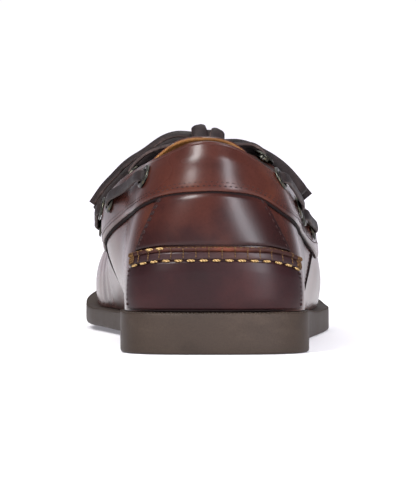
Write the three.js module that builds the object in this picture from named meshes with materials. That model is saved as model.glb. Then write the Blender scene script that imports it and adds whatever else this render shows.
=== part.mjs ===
// A right boat shoe, empty, standing on its sole. Millimetres: +Z is up, the toe points along +Y and the
// outer side is +X. The form is drawn from the back of the heel, where y is 0, and moved at the end so
// that the origin lies on the floor under the middle of the heel.
// "at" is a share of the sole's length, from the back of the heel at 0 to the tip of the toe at 1.
import * as THREE from 'three';
import { mergeVertices } from 'three/addons/utils/BufferGeometryUtils.js';

// Driving dimensions of the sole
const LENGTH = 298;
const HEEL_WIDTH = 77;
const BALL_WIDTH = 110.5;
const HEEL_THICKNESS = 16.8;
const ARCH_LIFT = 2.6;
const EDGE_CURL = 2.2;
const TREAD_MARGIN = 14;
const TOE_SPRING = 11.3;
const TOE_SWING = 7;
const HEEL_CORNER = 28;
const TOE_CORNER = 80;
const SOLE_BEVEL = 1.1;
const HEEL_CENTRE = 38;

// Driving dimensions of the upper
const WALL = 2.2;
const WELT = 4;
const BACK_HEIGHT = 86;
const INSTEP_HEIGHT = 84;
const SPRING_OF_SIDES = 12;
const COLLAR_LEAN = 3.5;
const CREST_BACK = 38;
const CREST_FRONT = 45;
const THROAT_FRONT = 162;
const THROAT_GAP = 11;
const THROAT_CORNER = 9;
const SEAM_HEIGHT = 40.7;
const SEAM_WIDTH = 5.4;
const SEAM_PROUD = 2.2;
const TOE_SEAM_HEIGHT = 42.5;
const TOE_CROWN = 3.5;
const TOE_HEIGHT = TOE_SEAM_HEIGHT + TOE_CROWN;

// Driving dimensions of what is laid on or in the upper
const CLEARANCE = 0.3;
const BAND_SEAT = 0.65;
const BAND_THICKNESS = 1.6;
const BAND_HEIGHT = 20.7;
const BAND_END = 148;
const BAND_SLANT = 16;
const BAND_CORNER = 9;
const PANEL_THICKNESS = 1.3;
const BACK_PANEL_LOW = 73;
const BACK_PANEL_HIGH = 53.3;
const BACK_PANEL_SHIFT = -1.7;
const COUNTER_WIDTH = 83;
const COUNTER_SHIFT = -1.1;
const INSOLE_THICKNESS = 3;
const TONGUE_ROOM = 0.8;
const TONGUE_THICKNESS = 2;
const TONGUE_WIDTH = 40;
const TONGUE_BACK = 110;
const TONGUE_FRONT = 186;
const EYELET_OUTER = 10;
const EYELET_HOLE = 5.6;
const EYELET_HEIGHT = 0.9;
const EYELET_SEAT = 0.4;
const LACE_SEAT = 0.35;
const LACE_WIDTH = 4.7;
const LACE_THICKNESS = 1.8;
const KNOT_WIDTH = 14;
const KNOT_HEIGHT = 17;
const KNOT_DEPTH = 11;
const KNOT_Y = 140;

const leather = new THREE.MeshStandardMaterial({ color: 0x5a322d, roughness: 0.28, metalness: 0 });
const darkLeather = new THREE.MeshStandardMaterial({ color: 0x4a2c28, roughness: 0.32, metalness: 0 });
const lining = new THREE.MeshStandardMaterial({ color: 0xbe8c4b, roughness: 0.6, metalness: 0 });
const rubber = new THREE.MeshStandardMaterial({ color: 0x6b5e52, roughness: 0.7, metalness: 0 });
const rawhide = new THREE.MeshStandardMaterial({ color: 0x3e3232, roughness: 0.5, metalness: 0 });
const brass = new THREE.MeshStandardMaterial({ color: 0x6e6a58, roughness: 0.35, metalness: 1 });

// The sole's half widths, as shares of the width at the heel and at the ball
const HEEL_SECTIONS = [
  { at: 0.00, outer: 0.490, inner: 0.490 },
  { at: 0.10, outer: 0.500, inner: 0.500 },
  { at: 0.20, outer: 0.500, inner: 0.490 },
  { at: 0.30, outer: 0.520, inner: 0.463 },
];
const BALL_SECTIONS = [
  { at: 0.39, outer: 0.389, inner: 0.312 },
  { at: 0.50, outer: 0.439, inner: 0.356 },
  { at: 0.60, outer: 0.494, inner: 0.411 },
  { at: 0.68, outer: 0.532, inner: 0.448 },
  { at: 0.75, outer: 0.537, inner: 0.452 },
  { at: 0.85, outer: 0.512, inner: 0.429 },
  { at: 0.94, outer: 0.440, inner: 0.380 },
  { at: 1.00, outer: 0.400, inner: 0.340 },
];

// The sole from the side: thickness as a share of the heel's, the lifts of the arch and of the toe, and
// how far the inner edge of the tread curls up off the floor
const SOLE_PROFILE = [
  { at: 0.00, thick: 1.000, arch: 0.00, spring: 0.00, curl: 0.0 },
  { at: 0.10, thick: 0.990, arch: 0.00, spring: 0.00, curl: 0.0 },
  { at: 0.22, thick: 0.900, arch: 0.00, spring: 0.00, curl: 0.0 },
  { at: 0.30, thick: 0.720, arch: 0.62, spring: 0.00, curl: 0.0 },
  { at: 0.38, thick: 0.590, arch: 1.00, spring: 0.00, curl: 0.0 },
  { at: 0.46, thick: 0.590, arch: 0.54, spring: 0.00, curl: 0.4 },
  { at: 0.53, thick: 0.620, arch: 0.00, spring: 0.00, curl: 0.9 },
  { at: 0.66, thick: 0.610, arch: 0.00, spring: 0.00, curl: 1.0 },
  { at: 0.72, thick: 0.590, arch: 0.00, spring: 0.05, curl: 0.8 },
  { at: 0.80, thick: 0.580, arch: 0.00, spring: 0.28, curl: 0.4 },
  { at: 0.90, thick: 0.590, arch: 0.00, spring: 0.63, curl: 0.1 },
  { at: 1.00, thick: 0.600, arch: 0.00, spring: 1.00, curl: 0.0 },
];

// How far the upper's foot stands in from the sole's edge, as a share of the welt
const FEATHER = [
  { at: 0.00, inset: 0.65 },
  { at: 0.10, inset: 0.55 },
  { at: 0.30, inset: 0.65 },
  { at: 0.50, inset: 1.00 },
  { at: 0.68, inset: 1.25 },
  { at: 0.85, inset: 1.15 },
  { at: 1.00, inset: 1.00 },
];

// The crest that the two sides would meet at. Over the open heel it is only drawn in the mind.
const INSTEP_CREST = [
  { at: 0.128, height: 1.238 },
  { at: 0.250, height: 1.190 },
  { at: 0.350, height: 1.095 },
  { at: 0.400, height: 1.052 },
  { at: 0.440, height: 1.000 },
  { at: 0.500, height: 0.911 },
];
const TOE_CREST = [
  { at: 0.570, height: 1.480 },
  { at: 0.655, height: 1.280 },
  { at: 0.740, height: 1.125 },
  { at: 0.805, height: 1.043 },
  { at: 0.850, height: 1.000 },
];

// How full each cross-section is, as the power of its superellipse, how far its sides spring out, and how
// strongly the collar pulls them together
const FULLNESS = [
  { at: 0.00, power: 3.0, outer: 0.10, inner: 0.10, pinch: 0.42 },
  { at: 0.10, power: 2.9, outer: 0.10, inner: 0.12, pinch: 0.54 },
  { at: 0.15, power: 2.8, outer: 0.10, inner: 0.20, pinch: 0.38 },
  { at: 0.22, power: 2.8, outer: 0.12, inner: 0.62, pinch: 0.14 },
  { at: 0.33, power: 2.6, outer: 0.22, inner: 1.16, pinch: 0.00 },
  { at: 0.40, power: 2.5, outer: 0.36, inner: 1.18, pinch: 0.00 },
  { at: 0.50, power: 2.4, outer: 0.42, inner: 0.85, pinch: 0.00 },
  { at: 0.60, power: 2.2, outer: 0.38, inner: 0.45, pinch: 0.00 },
  { at: 0.68, power: 2.2, outer: 0.32, inner: 0.26, pinch: 0.00 },
  { at: 0.80, power: 2.4, outer: 0.17, inner: 0.15, pinch: 0.00 },
  { at: 1.00, power: 2.5, outer: 0.13, inner: 0.13, pinch: 0.00 },
];

// The tables below go by "way", a share of the edge's length from the heel round one side to the toe.
// The collar's edge, as shares of the back height, climbs to the facings from COLLAR_RISE on.
const COLLAR_RISE = 0.38;
const TOPLINE = [
  { way: 0.00, outer: 0.988, inner: 0.988 },
  { way: 0.01, outer: 0.985, inner: 0.989 },
  { way: 0.02, outer: 0.979, inner: 0.987 },
  { way: 0.04, outer: 0.963, inner: 0.977 },
  { way: 0.06, outer: 0.936, inner: 0.956 },
  { way: 0.08, outer: 0.900, inner: 0.934 },
  { way: 0.10, outer: 0.866, inner: 0.916 },
  { way: 0.15, outer: 0.818, inner: 0.889 },
  { way: 0.20, outer: 0.795, inner: 0.866 },
  { way: 0.25, outer: 0.774, inner: 0.818 },
  { way: 0.30, outer: 0.745, inner: 0.758 },
  { way: 0.35, outer: 0.710, inner: 0.713 },
  { way: 0.39, outer: 0.702, inner: 0.706 },
  { way: 0.43, outer: 0.775, inner: 0.780 },
  { way: 0.46, outer: 0.890, inner: 0.895 },
  { way: 0.49, outer: 1.050, inner: 1.050 },
];

// The collar band's lower edge, below the top of the heel, in shares of the band's height at the heel
const BAND_EDGE = [
  { way: 0.00, outer: 1.00, inner: 1.00 },
  { way: 0.04, outer: 1.05, inner: 1.03 },
  { way: 0.07, outer: 1.16, inner: 1.09 },
  { way: 0.10, outer: 1.40, inner: 1.20 },
  { way: 0.15, outer: 1.62, inner: 1.39 },
  { way: 0.20, outer: 1.70, inner: 1.51 },
  { way: 0.25, outer: 1.77, inner: 1.70 },
  { way: 0.30, outer: 1.87, inner: 1.90 },
  { way: 0.35, outer: 2.00, inner: 2.08 },
  { way: 0.40, outer: 2.18, inner: 2.19 },
  { way: 0.50, outer: 2.60, inner: 2.42 },
];

// The raised seam: round the heel it is low, round the toe it frames the top of the vamp
const HEEL_SEAM = [
  { way: 0.000, outer: 1.000, inner: 1.000, raised: 1 },
  { way: 0.060, outer: 0.985, inner: 0.990, raised: 1 },
  { way: 0.090, outer: 0.940, inner: 0.960, raised: 1 },
  { way: 0.115, outer: 0.880, inner: 0.920, raised: 1 },
  { way: 0.125, outer: 0.875, inner: 0.915, raised: 0 },
  { way: 0.350, outer: 0.900, inner: 0.900, raised: 0 },
];
const TOE_SEAM = [
  { way: 0.540, outer: 1.110, inner: 1.110, raised: 0 },
  { way: 0.580, outer: 1.130, inner: 1.130, raised: 0 },
  { way: 0.605, outer: 1.125, inner: 1.125, raised: 1 },
  { way: 0.680, outer: 1.090, inner: 1.090, raised: 1 },
  { way: 0.820, outer: 1.030, inner: 1.030, raised: 1 },
  { way: 1.000, outer: 1.000, inner: 1.000, raised: 1 },
];

// Eyelets in the collar band: distance from the back of the heel, and height above the floor as a share
// of the back height. The last two pairs stand beside the throat, at a share of its gap from the middle.
const SIDE_EYELETS = [
  { y: 24, outer: 0.805, inner: 0.817 },
  { y: 70, outer: 0.668, inner: 0.695 },
  { y: 92, outer: 0.624, inner: 0.655 },
  { y: 125, outer: 0.545, inner: 0.565 },
];
const THROAT_EYELETS = [
  { y: 133, gap: 1.85 },
  { y: 155, gap: 1.85 },
];

// The lace's free ends and loops, as the middle of the strap, by hand: x outwards from the knot on the
// side named, y from the back of the heel, z above the floor
const INNER_TAIL = [
  [6.9, 141.6, 88.6], [14, 141.6, 89.0], [19.6, 141.6, 87.3], [27.6, 141.6, 81.9], [35.7, 141.6, 76.6],
  [41.7, 141.6, 70.6], [45.9, 141.6, 66.1], [50.9, 141.6, 58.9],
];
const OUTER_TAIL = [
  [10.6, 148.9, 82.7], [14, 148.9, 81.5], [20, 148.9, 78.8], [29, 148.9, 74.4], [36.5, 148.9, 68.7],
  [41.9, 148.9, 62.9], [45.9, 148.9, 57.2],
];
const INNER_LOOP = [
  [7.8, 140.5, 84.6], [12.9, 140.5, 85.2], [17.3, 140.5, 84.1], [25.4, 140.5, 78.6], [33.1, 140.5, 73.7],
  [38.7, 140.5, 68.0], [42.6, 140.5, 63.9], [47.2, 140.5, 57.2],
];
const OUTER_LOOP = [
  [7.8, 140.5, 84.2], [13.1, 140.5, 84.1], [18.4, 140.5, 82.7], [24.6, 140.5, 79.5],
  [30.6, 140.5, 75.5], [35.5, 140.5, 71.0], [40.1, 140.5, 65.8], [43.8, 140.5, 60.8],
];
const LOOP_OPENING = 5.6;
const STRETCH = [[13.5, 135.5, 84.2], [7.8, 136.3, 83.8]];
const LACE_HUB = 20;

const mix = (a, b, share) => a + (b - a) * share;
const clamp = (value, low, high) => Math.min(high, Math.max(low, value));
const ease = share => share * share * (3 - 2 * share);
const placeOf = row => row.at ?? row.way;

// Rows whose lengths are shares become rows in millimetres
function scaled(rows, size, keys) {
  return rows.map(row => {
    const out = { ...row };
    for (const key of keys) {
      out[key] = row[key] * size;
    }
    return out;
  });
}

// A smooth curve through one column of a table, a natural cubic spline held flat past its ends
function spline(rows, key) {
  const x = rows.map(placeOf);
  const y = rows.map(row => row[key]);
  const last = rows.length - 1;
  const bend = new Array(last + 1).fill(0);
  const carry = new Array(last + 1).fill(0);
  for (let i = 1; i < last; i += 1) {
    const left = x[i] - x[i - 1];
    const right = x[i + 1] - x[i];
    const pivot = 2 * (left + right) - left * carry[i - 1];
    carry[i] = right / pivot;
    const turn = (y[i + 1] - y[i]) / right - (y[i] - y[i - 1]) / left;
    bend[i] = (6 * turn - left * bend[i - 1]) / pivot;
  }
  for (let i = last - 1; i > 0; i -= 1) {
    bend[i] -= carry[i] * bend[i + 1];
  }
  return at => {
    const place = clamp(at, x[0], x[last]);
    let i = 0;
    while (i < last - 1 && place > x[i + 1]) {
      i += 1;
    }
    const span = x[i + 1] - x[i];
    const b = (place - x[i]) / span;
    const a = 1 - b;
    const curve = ((a ** 3 - a) * bend[i] + (b ** 3 - b) * bend[i + 1]) * span * span / 6;
    return a * y[i] + b * y[i + 1] + curve;
  };
}

// A curve that eases from row to row, so that level stretches stay exactly level
function steps(rows, key) {
  return at => {
    const x = rows.map(placeOf);
    const place = clamp(at, x[0], x[x.length - 1]);
    let i = 0;
    while (i < x.length - 2 && place > x[i + 1]) {
      i += 1;
    }
    const share = (place - x[i]) / (x[i + 1] - x[i]);
    return mix(rows[i][key], rows[i + 1][key], ease(share));
  };
}

// A curve through a table that never swings past its rows, for profiles with level stretches
function profile(rows, key) {
  const x = rows.map(placeOf);
  const y = rows.map(row => row[key]);
  const last = rows.length - 1;
  const slope = i => (y[i + 1] - y[i]) / (x[i + 1] - x[i]);
  const tangent = i => {
    if (i === 0 || i === last) {
      return 0;
    }
    const before = slope(i - 1);
    const after = slope(i);
    return before * after <= 0 ? 0 : 2 * before * after / (before + after);
  };
  return at => {
    const place = clamp(at, x[0], x[last]);
    let i = 0;
    while (i < last - 1 && place > x[i + 1]) {
      i += 1;
    }
    const span = x[i + 1] - x[i];
    const s = (place - x[i]) / span;
    const start = (1 + 2 * s) * (1 - s) ** 2 * y[i] + s * (1 - s) ** 2 * span * tangent(i);
    const end = s * s * (3 - 2 * s) * y[i + 1] + s * s * (s - 1) * span * tangent(i + 1);
    return start + end;
  };
}

// Both sides of the shoe as one function of the place and of the side, +1 for outer and -1 for inner
function sided(rows, curve) {
  const outer = curve(rows, 'outer');
  const inner = curve(rows, 'inner');
  return (at, side) => (side > 0 ? outer(at) : inner(at));
}

const halfWidth = sided([
  ...scaled(HEEL_SECTIONS, HEEL_WIDTH, ['outer', 'inner']),
  ...scaled(BALL_SECTIONS, BALL_WIDTH, ['outer', 'inner']),
], spline);
const soleThickness = profile(scaled(SOLE_PROFILE, HEEL_THICKNESS, ['thick']), 'thick');
const archLift = profile(scaled(SOLE_PROFILE, ARCH_LIFT, ['arch']), 'arch');
const toeLift = profile(scaled(SOLE_PROFILE, TOE_SPRING, ['spring']), 'spring');
const featherInset = spline(scaled(FEATHER, WELT, ['inset']), 'inset');
const crestHeight = spline([
  ...scaled(INSTEP_CREST, INSTEP_HEIGHT, ['height']),
  ...scaled(TOE_CREST, TOE_HEIGHT, ['height']),
], 'height');
const fullness = spline(FULLNESS, 'power');
const collarPinch = profile(FULLNESS, 'pinch');
const sideSpring = sided(scaled(FULLNESS, SPRING_OF_SIDES, ['outer', 'inner']), spline);
const topline = sided(scaled(TOPLINE, BACK_HEIGHT, ['outer', 'inner']), spline);
const bandDrop = sided(scaled(BAND_EDGE, BAND_HEIGHT, ['outer', 'inner']), spline);
const seamRows = [
  ...scaled(HEEL_SEAM, SEAM_HEIGHT, ['outer', 'inner']),
  ...scaled(TOE_SEAM, TOE_SEAM_HEIGHT, ['outer', 'inner']),
];
const seamHeight = sided(seamRows, profile);
const seamRaised = steps(seamRows, 'raised');

const edgeCurl = profile(scaled(SOLE_PROFILE, EDGE_CURL, ['curl']), 'curl');
const soleBottom = y => archLift(y / LENGTH) + toeLift(y / LENGTH);
const soleTop = y => soleBottom(y) + soleThickness(y / LENGTH);

// The rim of the tread: the arch is hollow only towards the inner side, where the forefoot's rim curls up
function treadRim(y, side) {
  const inner = archLift(y / LENGTH) + edgeCurl(y / LENGTH);
  return toeLift(y / LENGTH) + (side > 0 ? 0 : inner);
}

// The line down the middle of the shoe swings inwards at the toe
const SWING_START = 0.45;
function middle(y) {
  const share = clamp((y / LENGTH - SWING_START) / (1 - SWING_START), 0, 1);
  return -TOE_SWING * share ** 3 * (10 - 15 * share + 6 * share * share);
}

// How much of its full width the sole has near its rounded ends
const HEEL_POWER = 3;
const TOE_POWER = 2.5;
function endRounding(y) {
  const heel = clamp(1 - y / HEEL_CORNER, 0, 1);
  const toe = clamp(1 - (LENGTH - y) / TOE_CORNER, 0, 1);
  const atHeel = (1 - heel ** HEEL_POWER) ** (1 / HEEL_POWER);
  const atToe = (1 - toe ** TOE_POWER) ** (1 / TOE_POWER);
  return atHeel * atToe;
}

// The way round one side is measured by its share of the edge's length, from the heel to the toe
const RAIL_STEPS = 900;
const rail = makeRail();

function makeRail() {
  const stops = [];
  let length = 0;
  let before = null;
  for (let i = 0; i <= RAIL_STEPS; i += 1) {
    const y = LENGTH * (1 - Math.cos(Math.PI * i / RAIL_STEPS)) / 2;
    const round = endRounding(y);
    const half = round * (halfWidth(y / LENGTH, 1) + halfWidth(y / LENGTH, -1)) / 2;
    if (before) {
      length += Math.hypot(half - before.half, y - before.y);
    }
    const stop = { y, round, half, length };
    stops.push(stop);
    before = stop;
  }
  return stops;
}

function railStop(way) {
  const target = clamp(way, 0, 1) * rail[RAIL_STEPS].length;
  let low = 0;
  let high = RAIL_STEPS;
  while (high - low > 1) {
    const middleStop = Math.floor((low + high) / 2);
    if (rail[middleStop].length <= target) {
      low = middleStop;
    } else {
      high = middleStop;
    }
  }
  const a = rail[low];
  const b = rail[high];
  const share = (target - a.length) / (b.length - a.length);
  return { y: mix(a.y, b.y, share), round: mix(a.round, b.round, share) };
}

// A place round the shoe is w: 0 at the back of the heel, +1 and -1 at the toe by the outer and inner side
function soleEdge(w) {
  const wrapped = w > 1 ? w - 2 : w < -1 ? w + 2 : w;
  const stop = railStop(Math.abs(wrapped));
  const side = Math.sign(wrapped) || 1;
  const x = middle(stop.y) + side * stop.round * halfWidth(stop.y / LENGTH, side);
  return new THREE.Vector2(x, stop.y);
}

function insetEdge(w, inset) {
  const reach = 0.004;
  const along = soleEdge(w + reach).sub(soleEdge(w - reach)).normalize();
  return soleEdge(w).add(new THREE.Vector2(-along.y, along.x).multiplyScalar(inset));
}

// How much further a corner of the heel stands out than an ellipse round the middle of the heel
function cornerOf(foot) {
  const spot = new THREE.Vector2(foot.x, foot.y - CREST_BACK);
  if (spot.y >= 0) {
    return 0;
  }
  const across = HEEL_WIDTH / 2 - WELT * FEATHER[1].inset;
  const along = CREST_BACK - WELT * FEATHER[0].inset;
  const ray = spot.clone().normalize();
  return Math.max(0, spot.length() - 1 / Math.hypot(ray.x / across, ray.y / along));
}

// One rib of the upper runs from the foot at w up to the crest. The collar leans inwards, and round the
// heel it is rounder than the foot.
const SIDE_CURVE = 1;
const CORNER_GONE = 0.8;
const LEAN_END = 0.62;
const ribs = new Map();
function rib(w) {
  if (!ribs.has(w)) {
    const side = Math.sign(w) || 1;
    const edge = soleEdge(w);
    const foot = insetEdge(w, featherInset(edge.y / LENGTH));
    const share = edge.y / LENGTH;
    const crestY = mix(CREST_BACK, LENGTH - CREST_FRONT, share);
    const crest = new THREE.Vector2(middle(crestY), crestY);
    const reach = crest.distanceTo(foot);
    const inward = crest.clone().sub(foot).normalize();
    const base = soleTop(foot.y) + CLEARANCE;
    const power = fullness(share);
    const pinch = collarPinch(share);
    const spring = sideSpring(share, side);
    const lean = COLLAR_LEAN * ease(clamp((LEAN_END - share) / (LEAN_END / 2), 0, 1));
    ribs.set(w, { side, foot, share, crestY, reach, inward, base, power, spring, lean, pinch,
      way: Math.abs(w), corner: cornerOf(foot), rise: crestHeight(crestY / LENGTH) - base });
  }
  return ribs.get(w);
}

// A point of the outer surface: t runs from 0 at the foot to 1 at the crest
function skin(w, t) {
  const r = rib(w);
  const turn = t * Math.PI / 2;
  const inShare = 1 - Math.cos(turn) ** (2 / r.power);
  const upShare = Math.sin(turn) ** (2 / r.power);
  const bulge = r.spring * Math.sin(Math.PI * upShare ** SIDE_CURVE);
  const rounding = r.corner * ease(clamp(upShare / CORNER_GONE, 0, 1)) * (1 - inShare);
  const travel = r.reach * inShare - bulge + rounding;
  const across = (r.foot.x + r.inward.x * travel) * (1 - r.pinch * upShare ** 2);
  return new THREE.Vector3(across - r.lean * upShare ** 2, r.foot.y + r.inward.y * travel,
    r.base + r.rise * upShare);
}

function skinNormal(w, t) {
  const small = 0.003;
  if (t > 1 - small) {
    const y = rib(w).crestY;
    const slope = crestHeight((y + 1) / LENGTH) - crestHeight((y - 1) / LENGTH);
    return new THREE.Vector3(0, -slope / 2, 1).normalize();
  }
  const before = w - small < -1 ? w - small + 2 : w - small;
  const after = w + small > 1 ? w + small - 2 : w + small;
  const along = skin(after, t).sub(skin(before, t));
  const up = skin(w, Math.min(t + small, 1)).sub(skin(w, Math.max(t - small, 0)));
  const normal = along.cross(up).normalize();
  return normal;
}

// A point at a distance out from that surface, or in from it when the distance is negative
function shell(w, t, out) {
  const normal = skinNormal(w, t);
  if (t === 0) {
    normal.setZ(0).normalize();
  }
  return skin(w, t).addScaledVector(normal, out);
}

const turnOf = share => Math.asin(clamp(share, 0, 1)) * 2 / Math.PI;
function atHeight(w, height) {
  const r = rib(w);
  return turnOf(clamp((height - r.base) / r.rise, 0, 1) ** (r.power / 2));
}
function atGap(w, gap) {
  const r = rib(w);
  return 1 - turnOf(clamp(gap / r.reach, 0, 1) ** (r.power / 2));
}

// Half the opening between the facings, closed by a round end at the front of the throat
const THROAT_FLARE = 0.045;
function throatGap(y) {
  const open = THROAT_GAP + (THROAT_FRONT - y) * THROAT_FLARE;
  const near = clamp(1 - (THROAT_FRONT - y) / THROAT_CORNER, 0, 1);
  return y >= THROAT_FRONT ? 0 : open * Math.sqrt(1 - near * near);
}

function smoothMin(a, b, soft) {
  const h = clamp(0.5 + (b - a) / (2 * soft), 0, 1);
  return mix(b, a, h) - soft * h * (1 - h);
}

// Where each rib stops: at the collar, at the edge of a facing, or at the crest in front of the throat
const CORNER_SOFTNESS = 0.03;
function ribTop(w) {
  const r = rib(w);
  if (r.crestY >= THROAT_FRONT - 1e-6) {
    return 1;
  }
  const collar = atHeight(w, topline(r.way, r.side));
  const facing = atGap(w, throatGap(r.crestY));
  return Math.min(smoothMin(collar, facing, CORNER_SOFTNESS), facing);
}

// The way round at which a rib's crest reaches y
function wayToCrest(y) {
  let low = 0;
  let high = 1;
  for (let i = 0; i < 40; i += 1) {
    const half = (low + high) / 2;
    if (rib(half).crestY < y) {
      low = half;
    } else {
      high = half;
    }
  }
  return (low + high) / 2;
}

// Closed meshes from grids of points. Faces are wound so that they point out.
class Mesher {
  constructor() {
    this.points = [];
    this.faces = [];
  }

  add(point) {
    this.points.push(point.x, point.y, point.z);
    return this.points.length / 3 - 1;
  }

  triangle(a, b, c) {
    this.faces.push(a, b, c);
  }

  distance(a, b) {
    const step = axis => this.points[3 * a + axis] - this.points[3 * b + axis];
    return Math.hypot(step(0), step(1), step(2));
  }

  // Split along the shorter diagonal, which keeps a curved face truest
  quad(a, b, c, d) {
    if (this.distance(a, c) <= this.distance(b, d)) {
      this.faces.push(a, b, c, a, c, d);
    } else {
      this.faces.push(a, b, d, b, c, d);
    }
  }

  // Strips between two rows of the same count
  bridge(first, second, closed = false) {
    const count = first.length;
    const last = closed ? count : count - 1;
    for (let i = 0; i < last; i += 1) {
      const next = (i + 1) % count;
      this.quad(first[i], first[next], second[next], second[i]);
    }
  }

  geometry() {
    const raw = new THREE.BufferGeometry();
    raw.setAttribute('position', new THREE.Float32BufferAttribute(this.points, 3));
    raw.setIndex(this.faces);
    const merged = mergeVertices(raw, 1e-3);
    const kept = [];
    const index = merged.index.array;
    for (let i = 0; i < index.length; i += 3) {
      const [a, b, c] = [index[i], index[i + 1], index[i + 2]];
      if (a !== b && b !== c && a !== c) {
        kept.push(a, b, c);
      }
    }
    merged.setIndex(kept);
    merged.computeVertexNormals();
    return merged;
  }
}

// Columns round the shoe, closer together where the collar climbs and at the end of the throat
function columns() {
  const throatEnd = wayToCrest(THROAT_FRONT);
  const throatBend = wayToCrest(THROAT_FRONT - THROAT_CORNER);
  const half = [];
  const stretch = (from, to, count, bend = share => share) => {
    for (let i = 0; i < count; i += 1) {
      half.push(mix(from, to, bend(i / count)));
    }
  };
  stretch(0, 0.2, 9);
  stretch(0.2, COLLAR_RISE, 5);
  stretch(COLLAR_RISE, throatBend, 10);
  stretch(throatBend, throatEnd, 4, share => 1 - (1 - share) ** 2);
  stretch(throatEnd, 1, 15);
  half.push(1);
  return [...half.slice(1).reverse().map(way => -way), ...half];
}

// The two sides of a loop round the shoe, as pairs with the same place on the inner and the outer side
function capAcross(mesher, loop, up) {
  const back = (loop.length - 1) / 2;
  for (let i = 0; i < back; i += 1) {
    const [a, b] = [loop[back + i], loop[back + i + 1]];
    const [c, d] = [loop[back - i - 1], loop[back - i]];
    if (up) {
      mesher.quad(a, b, c, d);
    } else {
      mesher.quad(d, c, b, a);
    }
  }
}

// A flat-lying piece with the sole's outline: loops given as an inset and a height, from the bottom up
function plate(levels) {
  const mesher = new Mesher();
  const ways = columns();
  const loops = levels.map(level => ways.map(w => {
    const spot = insetEdge(w, level.inset(soleEdge(w).y));
    return mesher.add(new THREE.Vector3(spot.x, spot.y, level.height(soleEdge(w).y, Math.sign(w))));
  }));
  for (let i = 0; i < loops.length - 1; i += 1) {
    mesher.bridge(loops[i], loops[i + 1]);
  }
  capAcross(mesher, loops[0], false);
  capAcross(mesher, loops[loops.length - 1], true);
  return mesher.geometry();
}

function outsole() {
  const level = (inset, height) => ({ inset: () => inset, height });
  return plate([
    level(TREAD_MARGIN, soleBottom),
    level(SOLE_BEVEL, treadRim),
    level(0, (y, side) => treadRim(y, side) + SOLE_BEVEL),
    level(0, y => soleTop(y) - SOLE_BEVEL),
    level(SOLE_BEVEL, soleTop),
  ]);
}

function insole() {
  const room = WALL + 2 * CLEARANCE;
  const inset = y => featherInset(y / LENGTH) + room;
  return plate([
    { inset, height: y => soleTop(y) + CLEARANCE },
    { inset, height: y => soleTop(y) + CLEARANCE + INSOLE_THICKNESS },
  ]);
}

// The upper's rows up each rib: below the raised seam, over it and on to the top
const ROWS_BELOW = 4;
const ROWS_ABOVE = 7;
const SEAM_SHOULDER = 0.6;
function upperRows(w) {
  const r = rib(w);
  const top = ribTop(w);
  const seam = atHeight(w, seamHeight(r.way, r.side));
  const small = 0.01;
  const speed = skin(w, seam + small).distanceTo(skin(w, seam - small)) / (2 * small);
  const half = SEAM_WIDTH / 2 / speed;
  const shoulder = SEAM_SHOULDER / speed;
  const proud = SEAM_PROUD * seamRaised(r.way);
  const rows = [];
  for (let i = 0; i < ROWS_BELOW; i += 1) {
    rows.push({ t: mix(0, seam - half, i / ROWS_BELOW), out: 0 });
  }
  rows.push({ t: seam - half, out: 0 });
  rows.push({ t: seam - half + shoulder, out: proud });
  rows.push({ t: seam + half - shoulder, out: proud });
  rows.push({ t: seam + half, out: 0 });
  for (let i = 1; i <= ROWS_ABOVE; i += 1) {
    rows.push({ t: mix(seam + half, top, i / ROWS_ABOVE), out: 0 });
  }
  return rows;
}

const INNER_ROWS = 9;
function upper() {
  const mesher = new Mesher();
  const outside = [];
  const inside = [];
  const open = [];
  for (const w of columns()) {
    const rows = upperRows(w);
    const top = rows[rows.length - 1].t;
    open.push(top < 1);
    outside.push(rows.map(row => mesher.add(shell(w, row.t, row.out))));
    const column = [];
    for (let i = 0; i <= INNER_ROWS; i += 1) {
      column.push(mesher.add(shell(w, top * i / INNER_ROWS, -WALL)));
    }
    inside.push(column);
  }
  for (let i = 0; i < outside.length - 1; i += 1) {
    mesher.bridge(outside[i + 1], outside[i]);
    mesher.bridge(inside[i], inside[i + 1]);
    mesher.quad(outside[i + 1][0], outside[i][0], inside[i][0], inside[i + 1][0]);
    if (open[i] || open[i + 1]) {
      const rim = outside[i].length - 1;
      mesher.quad(outside[i][rim], outside[i + 1][rim], inside[i + 1][INNER_ROWS], inside[i][INNER_ROWS]);
    }
  }
  return mesher.geometry();
}

// A piece between two distances from the upper's surface, over a grid of places { w, t } on it
function slab(grid, low, high) {
  const mesher = new Mesher();
  const layer = out => grid.map(line => line.map(spot => mesher.add(shell(spot.w, spot.t, out))));
  const under = layer(low);
  const over = layer(high);
  const last = grid.length - 1;
  for (let i = 0; i < last; i += 1) {
    mesher.bridge(over[i + 1], over[i]);
    mesher.bridge(under[i], under[i + 1]);
  }
  const border = lines => [
    ...lines[0],
    ...lines.slice(1).map(line => line[line.length - 1]),
    ...lines[last].slice(0, -1).reverse(),
    ...lines.slice(1, -1).reverse().map(line => line[0]),
  ];
  mesher.bridge(border(over), border(under), true);
  return mesher.geometry();
}

function gridOf(lines, spots, place) {
  const grid = [];
  for (let i = 0; i <= lines; i += 1) {
    const line = [];
    for (let j = 0; j <= spots; j += 1) {
      line.push(place(i / lines, j / spots));
    }
    grid.push(line);
  }
  return grid;
}

// The tongue lies under the facings and shows through the throat
const TONGUE_LINES = 10;
const TONGUE_SPOTS = 10;
const TONGUE_ROUND = 7;
function tongue() {
  const grid = gridOf(TONGUE_LINES, TONGUE_SPOTS, (along, across) => {
    const side = across < 0.5 ? 1 : -1;
    const off = Math.abs(across - 0.5) * 2;
    const y = mix(TONGUE_BACK + TONGUE_ROUND * off ** 4, TONGUE_FRONT, along);
    const way = wayToCrest(y);
    return { w: side * way, t: atGap(side * way, off * TONGUE_WIDTH / 2) };
  });
  const high = -(WALL + TONGUE_ROOM);
  return slab(grid, high - TONGUE_THICKNESS, high);
}

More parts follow.
